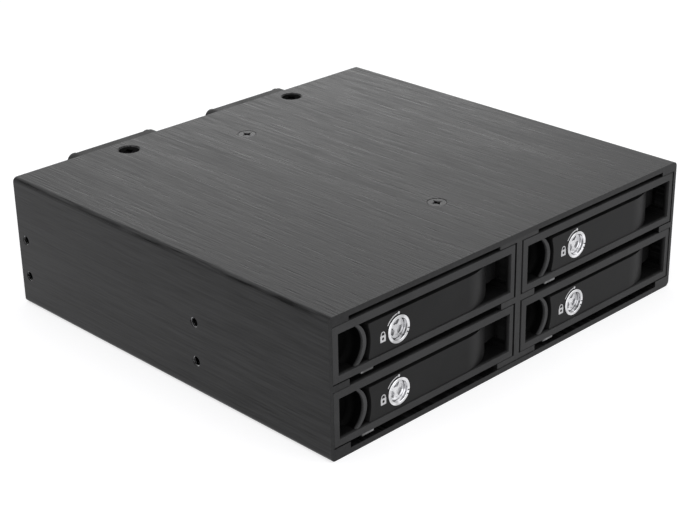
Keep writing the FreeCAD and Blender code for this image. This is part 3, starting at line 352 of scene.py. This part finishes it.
def screw_tree():
    """A screw on every point, turned as its attribute says."""
    tree, given = copying_tree("cross_recessed_screws", SCREW_SIZES)

    def solid(kind, links, **fixed):
        node = tree.nodes.new(kind)
        for label, value in fixed.items():
            node.inputs[label.replace("_", " ")].default_value = value
        for label, socket in links.items():
            tree.links.new(socket, node.inputs[label])
        return node

    def moved(mesh, offset=None, turn=0.0, scale=(1, 1, 1)):
        node = tree.nodes.new("GeometryNodeTransform")
        tree.links.new(mesh, node.inputs["Geometry"])
        if offset is not None:
            tree.links.new(offset, node.inputs["Translation"])
        node.inputs["Rotation"].default_value = (0, 0, turn)
        node.inputs["Scale"].default_value = scale
        return node.outputs["Geometry"]

    def along(value):
        node = tree.nodes.new("ShaderNodeCombineXYZ")
        tree.links.new(value, node.inputs["Z"])
        return node.outputs[0]

    def boolean(operation, first, *others):
        node = tree.nodes.new("GeometryNodeMeshBoolean")
        node.solver = "EXACT"
        node.operation = operation
        if operation == "DIFFERENCE":
            tree.links.new(first, node.inputs["Mesh 1"])
        else:
            others = (first, *others)
        for other in others:
            tree.links.new(other, node.inputs["Mesh 2"])
        return node.outputs["Mesh"]

    head_links = {"Radius Top": given["Head radius"], "Radius Bottom": given["Neck radius"],
                  "Depth": given["Head height"]}
    head = solid("GeometryNodeMeshCone", head_links, Vertices=HEAD_SIDES).outputs["Mesh"]
    half_head = math_node(tree, "MULTIPLY", given["Head height"], 0.5)
    length = math_node(tree, "ADD", given["Shank length"], half_head)
    shank_links = {"Radius": given["Shank radius"], "Depth": length}
    shank = solid("GeometryNodeMeshCylinder", shank_links, Vertices=SHANK_SIDES).outputs["Mesh"]
    head = moved(head, along(math_node(tree, "MULTIPLY", given["Head height"], -1)))
    half_shank = math_node(tree, "MULTIPLY", given["Shank length"], 0.5)
    middle = math_node(tree, "ADD", given["Head height"], half_shank)
    buried = math_node(tree, "SUBTRACT", math_node(tree, "MULTIPLY", half_head, 0.5), middle)
    shank = moved(shank, along(buried))
    whole = boolean("UNION", head, shank)
    reach = math_node(tree, "MULTIPLY", given["Head radius"], RECESS_SHARE)
    tip = math_node(tree, "MULTIPLY", reach, RECESS_TAPER)
    depth = math_node(tree, "MULTIPLY", given["Recess depth"], 2)
    arm = solid("GeometryNodeMeshCone", {"Radius Top": reach, "Radius Bottom": tip, "Depth": depth},
                Vertices=4).outputs["Mesh"]
    sunk = along(math_node(tree, "MULTIPLY", given["Recess depth"], -1))
    arms = [moved(moved(arm, sunk, 0.0, (1, RECESS_ARM, 1)), None, turn) for turn in (0.0, math.pi / 2)]
    whole = boolean("DIFFERENCE", whole, boolean("UNION", *arms))
    turned = tree.nodes.new("GeometryNodeInputNamedAttribute")
    turned.data_type = "FLOAT_VECTOR"
    turned.inputs["Name"].default_value = "turn"
    return copied_to_points(tree, given, whole, turned.outputs["Attribute"])


def grown(name, places, turns, tree, values, finish):
    """The mesh that a node tree grows on a set of points."""
    seed = bpy.data.meshes.new(name)
    seed.from_pydata(places, [], [])
    if turns:
        attribute = seed.attributes.new("turn", "FLOAT_VECTOR", "POINT")
        attribute.data.foreach_set("vector", [angle for turn in turns for angle in turn])
    holder = bpy.data.objects.new(name, seed)
    scene.collection.objects.link(holder)
    modifier = holder.modifiers.new("grow", "NODES")
    modifier.node_group = tree
    for item in tree.interface.items_tree:
        if item.in_out == "INPUT" and item.name in values:
            modifier[item.identifier] = values[item.name]
        elif item.in_out == "INPUT" and item.name == "Finish":
            modifier[item.identifier] = finish
    depsgraph = bpy.context.evaluated_depsgraph_get()
    mesh = bpy.data.meshes.new_from_object(holder.evaluated_get(depsgraph))
    bpy.data.objects.remove(holder)
    shade_by_angle(mesh)
    return mesh


def screw_set(node, finish, places, outward, sizes, first_turn):
    """One group of like screws; outward is the way their heads face."""
    tilt = {"up": 0, "down": math.pi, "back": -math.pi / 2, "front": math.pi / 2}
    turns = []
    for number, way in enumerate(outward):
        spin = Euler((0, 0, first_turn + SPIN_STEP * number)).to_matrix()
        turns.append(tuple((Euler((tilt[way], 0, 0)).to_matrix() @ spin).to_euler()))
    values = dict(zip(SCREW_SIZES, sizes))
    mesh = grown(node, places, turns, screws, values, finish)
    edge = min(values["Head radius"] * HEAD_EDGE, values["Recess depth"] * RECESS_EDGE)
    mesh = modified_mesh(mesh, rounding(edge))
    piece = add_piece(node + "_cut", mesh, finish, frame["nodes"][node]["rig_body"])
    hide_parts(node)


def solid_boxes(node):
    """The lowest and highest corner of each separate solid in a node."""
    shape = bmesh.new()
    shape.from_mesh(frame["nodes"][node].data)
    bmesh.ops.remove_doubles(shape, verts=shape.verts, dist=WELD)
    boxes = []
    waiting = set(shape.verts)
    while waiting:
        found = {waiting.pop()}
        edge_of_search = list(found)
        while edge_of_search:
            vertex = edge_of_search.pop()
            for edge in vertex.link_edges:
                other = edge.other_vert(vertex)
                if other in waiting:
                    waiting.discard(other)
                    found.add(other)
                    edge_of_search.append(other)
        low = Vector([min(v.co[axis] for v in found) for axis in range(3)])
        high = Vector([max(v.co[axis] for v in found) for axis in range(3)])
        boxes.append((low, high))
    shape.free()
    return sorted(boxes, key=lambda pair: tuple(round(value, 5) for value in pair[0]))


def paint_recess_shade(material, axis, face, walls, middle=0.0):
    """Paint shade into the colour: darken the walls behind a face, whose distance is counted from a middle
    plane.
    """
    start, end, share = walls
    tree = material.node_tree
    colour = tree.nodes["Principled BSDF"].inputs["Base Color"]
    place = tree.nodes.new("ShaderNodeTexCoord")
    split = tree.nodes.new("ShaderNodeSeparateXYZ")
    tree.links.new(place.outputs["Object"], split.inputs[0])
    offset = math_node(tree, "SUBTRACT", split.outputs[axis], middle)
    distance = math_node(tree, "ABSOLUTE", offset, 0)
    shade_fall = tree.nodes.new("ShaderNodeMapRange")
    shade_fall.inputs["From Min"].default_value = face - start
    shade_fall.inputs["From Max"].default_value = face - end
    shade_fall.inputs["To Min"].default_value = 1
    shade_fall.inputs["To Max"].default_value = share
    tree.links.new(distance, shade_fall.inputs["Value"])
    shaded = tree.nodes.new("ShaderNodeVectorMath")
    shaded.operation = "SCALE"
    tree.links.new(colour.links[0].from_socket, shaded.inputs[0])
    tree.links.new(shade_fall.outputs[0], shaded.inputs["Scale"])
    tree.links.new(shaded.outputs[0], colour)


screws = screw_tree()
FLAT_NECK, FLAT_SHANK = 0.52, 0.42
RECESS_SHADE = (0.00005, 0.0003, 0.08)
PAN_SHANK, PAN_RECESS = 0.55, 0.6
black_oxide = new_material("black_oxide", metallic=0, reflection=0)
dress(black_oxide, grained, {"Grains per metre": 3000}, grey(0.003), grey(0.009),
      smooth=0.3, rough=0.5, relief=0.000002)
black_nickel = new_material("black_nickel", metallic=0.4, reflection=0.1)
dress(black_nickel, grained, {"Grains per metre": 3000}, grey(0.035), grey(0.075),
      smooth=0.16, rough=0.3, relief=0.000002)
black_zinc = new_material("black_zinc", metallic=0.5, reflection=0.3)
dress(black_zinc, grained, {"Grains per metre": 2400}, grey(0.014), grey(0.032),
      smooth=0.28, rough=0.42, relief=0.000002)
zinc_plate = new_material("zinc_plate", metallic=1, reflection=0.5)
dress(zinc_plate, grained, {"Grains per metre": 1800}, grey(0.42), grey(0.62),
      smooth=0.24, rough=0.4, relief=0.000002)
REAR_DEPTH = 0.02
cad_middle = (cad_low.z + cad_high.z) / 2
for node, finish, head_height, recess in (
    ("divider_screws", black_nickel, 0.0014, 0.0011), ("back_plate_screws", black_oxide, 0.0013, 0.001),
):
    places, ways = [], []
    for low, high in solid_boxes(node):
        middle = (low + high) / 2
        upper = middle.z > cad_middle
        places.append((middle.x, middle.y, high.z if upper else low.z))
        ways.append("up" if upper else "down")
    radius = (high.x - low.x) / 2
    length = (high.z - low.z) - head_height
    sizes = (radius, radius * FLAT_NECK, head_height, radius * FLAT_SHANK, length, recess)
    screw_set(node, finish, places, ways, sizes, first_turn=0.4)
    # Painted shade: below the top face of each flat head, the colour darkens to near black down the walls
    # of the cross recess.
    paint_recess_shade(finish, "Z", high.z - cad_middle, RECESS_SHADE, cad_middle)
for node, finish, head_height, from_front in (
    ("board_screws", zinc_plate, 0.0012, True), ("fan_screws", black_zinc, 0.0016, False),
):
    places, ways = [], []
    for low, high in solid_boxes(node):
        middle = (low + high) / 2
        faces_front = from_front and middle.y < cad_high.y - REAR_DEPTH
        places.append((middle.x, low.y if faces_front else high.y, middle.z))
        ways.append("front" if faces_front else "back")
    radius = (high.x - low.x) / 2
    length = (high.y - low.y) - head_height
    sizes = (radius, radius, head_height, radius * PAN_SHANK, length, head_height * PAN_RECESS)
    screw_set(node, finish, places, ways, sizes, first_turn=0.2)

# Side threads: the crests of the M3 threads tapped in the side walls, bare aluminium
# where the tap cut through the anodising.
CREST = 0.00014
THREAD_PITCH = 0.0005
CREST_TURNS = (0.8, 1.7)
RING_SIDES, CREST_SIDES = 24, 5


def thread_tree():
    """A thin ring on every point, round the X axis."""
    tree, given = copying_tree("thread_crests", ("Hole radius", "Crest radius"))
    curves = []
    for label, count in (("Hole radius", RING_SIDES), ("Crest radius", CREST_SIDES)):
        circle = tree.nodes.new("GeometryNodeCurvePrimitiveCircle")
        circle.inputs["Resolution"].default_value = count
        tree.links.new(given[label], circle.inputs["Radius"])
        curves.append(circle.outputs["Curve"])
    ring = tree.nodes.new("GeometryNodeCurveToMesh")
    tree.links.new(curves[0], ring.inputs["Curve"])
    tree.links.new(curves[1], ring.inputs["Profile Curve"])
    turned = tree.nodes.new("GeometryNodeTransform")
    turned.inputs["Rotation"].default_value = (0, math.pi / 2, 0)
    tree.links.new(ring.outputs["Mesh"], turned.inputs["Geometry"])
    return copied_to_points(tree, given, turned.outputs["Geometry"])


places = []
for mount in frame["record"]["mounts"]:
    if mount["name"].endswith("side_holes"):
        wall, middle_y, middle_z = mount["pos_m"]
        inwards = math.copysign(THREAD_PITCH, -wall)
        half_y = mount["dims"]["spacing_x_mm"] / 2000
        half_z = mount["dims"]["spacing_y_mm"] / 2000
        for y in (middle_y - half_y, middle_y + half_y):
            for z in (middle_z - half_z, middle_z + half_z):
                places += [(wall + inwards * turn, y, z) for turn in CREST_TURNS]
        hole_radius = mount["dims"]["hole_r_mm"] / 1000
bare_aluminium = new_material("bare_aluminium", metallic=1, reflection=0.5)
dress(bare_aluminium, grained, {"Grains per metre": 1400}, grey(0.3), grey(0.6),
      smooth=0.2, rough=0.36, relief=0.000001)
crests = {"Hole radius": hole_radius, "Crest radius": CREST}
mesh = grown("side_threads", places, None, thread_tree(), crests, bare_aluminium)
add_piece("side_threads", mesh, bare_aluminium, "housing")

# Backplane board: glass-fibre laminate under green solder mask.
# It stands across the back of the bays on four standoffs.
solder_mask = new_material("solder_mask", metallic=0, reflection=0.5)
dark_green, light_green = (0.008, 0.055, 0.026), (0.018, 0.1, 0.048)
dress(solder_mask, grained, {"Grains per metre": 700}, dark_green, light_green,
      smooth=0.22, rough=0.38, relief=0.000006)
eased("backplane_board", solder_mask, edge=0.0001)

# Standoffs: hexagonal brass bars, bored right through, between the back plate and
# the board. A screw holds each end.
brass = new_material("turned_brass", metallic=1, reflection=0.5)
dark_brass, light_brass = (0.5, 0.35, 0.13), (0.7, 0.5, 0.2)
dress(brass, grained, {"Grains per metre": 1500}, dark_brass, light_brass,
      smooth=0.24, rough=0.38, relief=0.000003)
eased("board_standoffs", brass, edge=0.0001)

# Drive receptacles and rear headers: moulded black nylon soldered to the board.
# Rows of gold-plated contacts stand in their slots and on their tongues.
nylon = new_material("black_nylon", metallic=0, reflection=0.2)
dress(nylon, grained, {"Grains per metre": 3800}, grey(0.008), grey(0.016),
      smooth=0.42, rough=0.58, relief=0.000005)
for node in ("drive_receptacles", "data_connectors", "power_connectors"):
    eased(node, nylon, edge=0.00012)
gold = new_material("gold_plate", metallic=1, reflection=0.5)
dark_gold, light_gold = (0.74, 0.52, 0.18), (0.88, 0.66, 0.27)
dress(gold, grained, {"Grains per metre": 5000}, dark_gold, light_gold,
      smooth=0.2, rough=0.32, relief=0.000001)
CONTACT_PITCH = 0.00127
CONTACT_WIDTH, CONTACT_THICKNESS = 0.0006, 0.00012
SLOT_LENGTH, TONGUE_LENGTH = 0.0038, 0.0055
SLOT_INSET, TONGUE_INSET = 0.0022, 0.0033
SIGNAL_COUNT, POWER_COUNT = 7, 15
DATA_COUNT, HEADER_COUNT = 6, 12


def contact_tree():
    """A flat contact strip on every point."""
    tree, given = copying_tree("contact_row", ("Size",), "NodeSocketVector")
    strip = tree.nodes.new("GeometryNodeMeshCube")
    tree.links.new(given["Size"], strip.inputs["Size"])
    return copied_to_points(tree, given, strip.outputs["Mesh"])


def row(middle_x, y, z, count):
    """The places of one row of contacts, across X."""
    first = middle_x - (count - 1) / 2 * CONTACT_PITCH
    return [(first + n * CONTACT_PITCH, y, z) for n in range(count)]


contacts = contact_tree()
SLOT_FLOOR = -0.00095 + CONTACT_THICKNESS / 2
SIGNAL_MIDDLE, POWER_MIDDLE = 0.00905, 0.02765
TONGUE_TOP = 0.0006 + CONTACT_THICKNESS / 2
slot_places, data_places, power_places = [], [], []
for low, high in solid_boxes("drive_receptacles"):
    floor = (low.z + high.z) / 2 + SLOT_FLOOR
    slot_places += row(low.x + SIGNAL_MIDDLE, low.y + SLOT_INSET, floor, SIGNAL_COUNT)
    slot_places += row(low.x + POWER_MIDDLE, low.y + SLOT_INSET, floor, POWER_COUNT)
for node, tongue_places, count in (
    ("data_connectors", data_places, DATA_COUNT), ("power_connectors", power_places, HEADER_COUNT),
):
    for low, high in solid_boxes(node):
        middle = (low + high) / 2
        tongue_places.extend(row(middle.x, high.y - TONGUE_INSET, middle.z + TONGUE_TOP, count))
for name, places, length in (
    ("receptacle_contacts", slot_places, SLOT_LENGTH), ("data_contacts", data_places, TONGUE_LENGTH),
    ("power_contacts", power_places, TONGUE_LENGTH),
):
    size = (CONTACT_WIDTH, length, CONTACT_THICKNESS)
    mesh = grown(name, places, None, contacts, {"Size": size}, gold)
    add_piece(name, mesh, gold, "housing")

# Status lamps and light pipes: clear moulded plastic. Each strip runs forward under
# its tray from a lamp on the board, and shows as a pale sliver below the bezel.
clear = new_material("clear_strip", metallic=0, reflection=0.5)
dress(clear, grained, {"Grains per metre": 420}, grey(0.04), grey(0.3),
      smooth=0.14, rough=0.3, relief=0.000002)
PIN = "lever_pin_"
TRAYS = sorted(name[len(PIN):] for name in frame["nodes"] if name.startswith(PIN))
eased("status_leds", clear, edge=0.0001)
for tray in TRAYS:
    eased("light_pipe_" + tray, clear, edge=0.00008)

# Fans: square moulded frames screwed to the back plate. Each has a seven-bladed wheel
# whose shaft turns in a plain bearing on the motor plate.
fan_moulding = new_material("fan_moulding", metallic=0, reflection=0.2)
dress(fan_moulding, grained, {"Grains per metre": 3200}, grey(0.009), grey(0.018),
      smooth=0.42, rough=0.6, relief=0.000006)
wheel_moulding = new_material("wheel_moulding", metallic=0, reflection=0.25)
dress(wheel_moulding, grained, {"Grains per metre": 4200}, grey(0.012), grey(0.022),
      smooth=0.36, rough=0.5, relief=0.000004)
for side in ("left", "right"):
    eased("fan_frame_" + side, fan_moulding, edge=0.0003)
    eased("fan_rotor_" + side, wheel_moulding, edge=0.00015)

# Carriers: zinc-plated sheet pressed with vents, turned up behind the bezel and held
# to it by two flat-head screws. The drive is screwed onto the sheet.
BEZEL_HEAD, BEZEL_RECESS = 0.001, 0.0007
BEZEL_NECK, BEZEL_SHANK = 0.5, 0.45
for tray in TRAYS:
    eased("carrier_" + tray, zinc_plate, edge=0.0001)
    node = "bezel_screws_" + tray
    places = []
    for low, high in solid_boxes(node):
        middle = (low + high) / 2
        places.append((middle.x, high.y, middle.z))
    radius = (high.x - low.x) / 2
    length = high.y - low.y - BEZEL_HEAD
    sizes = (radius, radius * BEZEL_NECK, BEZEL_HEAD, radius * BEZEL_SHANK, length, BEZEL_RECESS)
    screw_set(node, zinc_plate, places, ["back"] * len(places), sizes, first_turn=0.7)

# Bezels: the moulded fronts of the trays, finely grained black plastic with a deep rim
# round the well that holds the button and the lever.
bezel_moulding = new_material("bezel_moulding", metallic=0, reflection=0.12)
dress(bezel_moulding, grained, {"Grains per metre": 4500}, grey(0.032), grey(0.05),
      smooth=0.4, rough=0.56, relief=0.000006)
bezel_front = -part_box("bezel_" + TRAYS[0])[0].y
RIM_SHADE = (0.0003, 0.0013, 0.12)
# Painted shade: from 0.3 mm to 1.3 mm behind the bezel front the colour darkens to about an eighth, in the
# well round the button and the lever.
paint_recess_shade(bezel_moulding, "Y", bezel_front, RIM_SHADE)
for tray in TRAYS:
    eased("bezel_" + tray, bezel_moulding, edge=0.0002)

# Release buttons: satin black mouldings hollowed for a fingertip.
# A bent leaf of spring steel behind each one pushes it forward.
button_moulding = new_material("button_moulding", metallic=0, reflection=0.02)
dress(button_moulding, grained, {"Grains per metre": 5200}, grey(0.055), grey(0.085),
      smooth=0.4, rough=0.5, relief=0.000003)
button_front = -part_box("release_button_" + TRAYS[0])[0].y
HOLLOW_SHADE = (0.0003, 0.001, 0.03)
# Painted highlight and painted shade: the front lip keeps the lighter colour, and the fingertip hollow
# behind it darkens to near black.
paint_recess_shade(button_moulding, "Y", button_front, HOLLOW_SHADE)
spring_strip = new_material("spring_strip", metallic=1, reflection=0.5)
dress(spring_strip, brushed, {"Lines per metre": 5000}, grey(0.4), grey(0.58),
      smooth=0.22, rough=0.36, relief=0.000002)
for tray in TRAYS:
    eased("release_button_" + tray, button_moulding, edge=0.00025)
    spring = frame["nodes"]["button_spring_" + tray]
    spring.data.materials.clear()
    spring.data.materials.append(spring_strip)

# Levers: thin covers in grained black plastic, flanged behind and swept back to a
# steel pin. The claw beyond the pin draws the tray in.
lever_moulding = new_material("lever_moulding", metallic=0, reflection=0.1)
dress(lever_moulding, grained, {"Grains per metre": 4800}, grey(0.009), grey(0.016),
      smooth=0.34, rough=0.48, relief=0.000005)
ground_steel = new_material("ground_steel", metallic=1, reflection=0.5)
dress(ground_steel, grained, {"Grains per metre": 2400}, grey(0.48), grey(0.62),
      smooth=0.2, rough=0.32, relief=0.000002)
for tray in TRAYS:
    eased("lever_" + tray, lever_moulding, edge=0.00035)
    eased("lever_pin_" + tray, ground_steel, edge=0.0001)

# Locks: a turned and polished chrome cup pressed into the lever. The satin plug inside it
# has three key pockets, and turns with the cam behind it.
chrome = new_material("polished_chrome", metallic=1, reflection=0.5)
dress(chrome, grained, {"Grains per metre": 420}, grey(0.42), grey(0.9),
      smooth=0.07, rough=0.16, relief=0.000001)
satin_chrome = new_material("satin_chrome", metallic=1, reflection=0.5)
dress(satin_chrome, grained, {"Grains per metre": 700}, grey(0.5), grey(0.78),
      smooth=0.18, rough=0.3, relief=0.000002)
plug_face = -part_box("lock_plug_" + TRAYS[0])[0].y
POCKET_SHADE = (0.0001, 0.0006, 0.8)
# Painted shade: the colour of the plug darkens a little in its key pockets, behind the plug face.
paint_recess_shade(satin_chrome, "Y", plug_face, POCKET_SHADE)
for tray in TRAYS:
    eased("lock_barrel_" + tray, chrome, edge=0.00012)
    eased("lock_plug_" + tray, satin_chrome, edge=0.00005)

# Marks round each lock: white ink pad-printed on the lever, a closed padlock and an arc
# with a dot for the turn of the key, and two index cuts in the chrome ring, shown as thin
# near-black slivers laid on the ring face: painted shade in place of the cuts.
LOCK_ACROSS, LOCK_UP = 0.0241, 0.007
INK = 0.00002
ARC_RADIUS, ARC_LINE = 0.0047, 0.0003
PADLOCK_ACROSS, PADLOCK_UP = 0.01825, 0.0063
PADLOCK_WIDTH, PADLOCK_HEIGHT = 0.002, 0.0019
SHACKLE_RADIUS, SHACKLE_LINE = 0.00068, 0.00026
SHACKLE_LEG = 0.0003
KEYHOLE = 0.00042
DOT_RADIUS, DOT_FILL = 0.0004, 0.9
CUT_REACH, CUT_LENGTH, CUT_WIDTH = 0.0036, 0.0009, 0.0003
CUT_ANGLES = (-12, -30)
ARC_START, ARC_END = 96, 150
ARC_STEPS, SHACKLE_STEPS, HOLE_STEPS = 18, 14, 24


def arc_band(across, up, radius, line, start, end, steps):
    """A bent band in the XZ plane, as pairs of an outer and an inner point."""
    pairs = []
    for n in range(steps + 1):
        angle = math.radians(start + (end - start) * n / steps)
        ray = (math.cos(angle), math.sin(angle))
        reaches = (radius + line / 2, radius - line / 2)
        pairs.append([(across + reach * ray[0], up + reach * ray[1]) for reach in reaches])
    return pairs


def oblong(across, up, width, height, turn=0.0):
    """A plain bar, turned about its own middle."""
    ray = (math.cos(turn), math.sin(turn))
    pairs = []
    for along in (-width / 2, width / 2):
        ends = ((along, height / 2), (along, -height / 2))
        pairs.append([(across + a * ray[0] - b * ray[1], up + a * ray[1] + b * ray[0]) for a, b in ends])
    return pairs


def pierced_square(across, up, width, height, hole):
    """A square figure with a round hole in the middle."""
    pairs = []
    for n in range(HOLE_STEPS + 1):
        angle = math.tau * n / HOLE_STEPS
        ray = (math.cos(angle), math.sin(angle))
        reach = 1 / max(abs(ray[0]) * 2 / width, abs(ray[1]) * 2 / height)
        pairs.append([(across + far * ray[0], up + far * ray[1]) for far in (reach, hole)])
    return pairs


def printed(name, figures, face, thickness):
    """Thin solid figures on a face that looks towards -Y."""
    shape = bmesh.new()
    for pairs in figures:
        rows = []
        for outer, inner in pairs:
            corners = ((outer, face - thickness), (inner, face - thickness), (inner, face), (outer, face))
            rows.append([shape.verts.new((x, y, z)) for (x, z), y in corners])
        for first, second in zip(rows, rows[1:]):
            for n in range(4):
                following = (n + 1) % 4
                shape.faces.new((first[n], first[following], second[following], second[n]))
        shape.faces.new(rows[0])
        shape.faces.new(list(reversed(rows[-1])))
    bmesh.ops.remove_doubles(shape, verts=shape.verts, dist=WELD / 10)
    bmesh.ops.recalc_face_normals(shape, faces=shape.faces)
    mesh = bpy.data.meshes.new(name)
    shape.to_mesh(mesh)
    shape.free()
    return mesh


white_ink = new_material("white_ink", metallic=0, reflection=0.3)
dress(white_ink, grained, {"Grains per metre": 6000}, grey(0.6), grey(0.78),
      smooth=0.44, rough=0.58, relief=0.000001)
# Painted shade: near-black slivers stand on the ring face where the shaded index cuts would be.
painted_cut_shade = new_material("painted_cut_shade", metallic=0, reflection=0.2)
dress(painted_cut_shade, grained, {"Grains per metre": 6000}, grey(0.008), grey(0.02),
      smooth=0.4, rough=0.55, relief=0.000001)
for tray in TRAYS:
    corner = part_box("bezel_" + tray)[0]
    lock_x, lock_z = corner.x + LOCK_ACROSS, corner.z + LOCK_UP
    lever_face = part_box("lever_" + tray)[0].y
    ring_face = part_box("lock_barrel_" + tray)[0].y
    body_x, body_z = corner.x + PADLOCK_ACROSS, corner.z + PADLOCK_UP
    shackle_z = body_z + PADLOCK_HEIGHT / 2 + SHACKLE_LEG
    figures = [
        pierced_square(body_x, body_z, PADLOCK_WIDTH, PADLOCK_HEIGHT, KEYHOLE),
        arc_band(body_x, shackle_z, SHACKLE_RADIUS, SHACKLE_LINE, 0, 180, SHACKLE_STEPS),
        arc_band(lock_x, lock_z, ARC_RADIUS, ARC_LINE, ARC_START, ARC_END, ARC_STEPS),
        arc_band(lock_x, lock_z + ARC_RADIUS, DOT_RADIUS / 2, DOT_RADIUS * DOT_FILL, 0, 360, ARC_STEPS),
    ]
    leg_z = shackle_z - SHACKLE_LEG / 2
    for side in (-1, 1):
        figures.append(oblong(body_x + side * SHACKLE_RADIUS, leg_z, SHACKLE_LINE, SHACKLE_LEG))
    body = "swing_lever_" + tray
    marks = printed("print_" + tray, figures, lever_face, INK)
    add_piece("print_" + tray, marks, white_ink, body)
    cuts = []
    for angle in CUT_ANGLES:
        turn = math.radians(angle)
        place = (lock_x + CUT_REACH * math.cos(turn), lock_z + CUT_REACH * math.sin(turn))
        cuts.append(oblong(*place, CUT_LENGTH, CUT_WIDTH, turn))
    marks = printed("index_" + tray, cuts, ring_face, INK)
    add_piece("index_" + tray, marks, painted_cut_shade, body)

# Floor and light: a pale sheet under the cage, a white surround, and broad soft lights
# above, behind and on each side in front.
FLOOR_REACH, FLOOR_DROP = 3.0, 0.00005
PAPER_GLOW, PAPER_COLOUR = 0.66, 0.5
AMBIENT = 0.35


def seen_rays(tree):
    """1 for the rays that show the surround: straight, mirrored or through glass."""
    path = tree.nodes.new("ShaderNodeLightPath").outputs
    mirrored = math_node(tree, "MAXIMUM", path["Is Glossy Ray"], path["Is Transmission Ray"])
    return math_node(tree, "MAXIMUM", path["Is Camera Ray"], mirrored)


floor_mesh = bpy.data.meshes.new("floor")
corners = [(x * FLOOR_REACH, y * FLOOR_REACH, -FLOOR_DROP) for x, y in ((-1, -1), (1, -1), (1, 1), (-1, 1))]
floor_mesh.from_pydata(corners, [], [(0, 1, 2, 3)])
floor = bpy.data.objects.new("floor", floor_mesh)
scene.collection.objects.link(floor)
paper = bpy.data.materials.new("pale_paper")
paper.use_nodes = True
tree = paper.node_tree
tree.nodes.clear()
glow = tree.nodes.new("ShaderNodeEmission")
tree.links.new(math_node(tree, "MULTIPLY", seen_rays(tree), PAPER_GLOW), glow.inputs["Strength"])
matt = tree.nodes.new("ShaderNodeBsdfDiffuse")
matt.inputs["Color"].default_value = (*grey(PAPER_COLOUR), 1)
both = tree.nodes.new("ShaderNodeAddShader")
tree.links.new(matt.outputs[0], both.inputs[0])
tree.links.new(glow.outputs[0], both.inputs[1])
end = tree.nodes.new("ShaderNodeOutputMaterial")
tree.links.new(both.outputs[0], end.inputs["Surface"])
floor_mesh.materials.append(paper)
world = bpy.data.worlds.new("surround")
scene.world = world
world.use_nodes = True
sky = world.node_tree
strength = math_node(sky, "MAXIMUM", seen_rays(sky), AMBIENT)
sky.nodes["Background"].inputs["Color"].default_value = (1, 1, 1, 1)
sky.links.new(strength, sky.nodes["Background"].inputs["Strength"])
for name, place, size, power in (
    ("overhead", (-0.1, 0.1, 1.0), 1.4, 6.0), ("front_left", (-0.9, -0.55, 0.45), 1.0, 4.0),
    ("front_right", (0.35, -1.0, 0.5), 1.0, 4.0), ("behind", (0.75, 0.8, 0.3), 0.5, 0.5),
):
    lamp = bpy.data.lights.new(name, "AREA")
    lamp.shape = "SQUARE"
    lamp.size = size
    lamp.energy = power
    holder = bpy.data.objects.new(name, lamp)
    scene.collection.objects.link(holder)
    holder.location = place
    holder.rotation_euler = (-Vector(place)).to_track_quat("-Z", "Y").to_euler()

# Camera: from the front and left, looking down on the top, as the cage was photographed.
# Its place, angles and lens were fitted to the corners of the housing in the photo.
CAMERA_TURN, CAMERA_RISE = math.radians(-44.209), math.radians(24.863)
CAMERA_ROLL = math.radians(-0.954)
CAMERA_PLACE = (-0.31953, -0.32945, 0.22232)
LENS, SENSOR = 84.414, 36
back_x = math.sin(CAMERA_TURN) * math.cos(CAMERA_RISE)
back_y = -math.cos(CAMERA_TURN) * math.cos(CAMERA_RISE)
back = Vector((back_x, back_y, math.sin(CAMERA_RISE)))
turn = (-back).to_track_quat("-Z", "Y").to_matrix() @ Matrix.Rotation(CAMERA_ROLL, 3, "Z")
camera = bpy.data.cameras.new("camera")
camera.lens = LENS
camera.sensor_width = SENSOR
camera.clip_start = 0.01
holder = bpy.data.objects.new("camera", camera)
scene.collection.objects.link(holder)
holder.matrix_world = Matrix.Translation(CAMERA_PLACE) @ turn.to_4x4()
scene.camera = holder
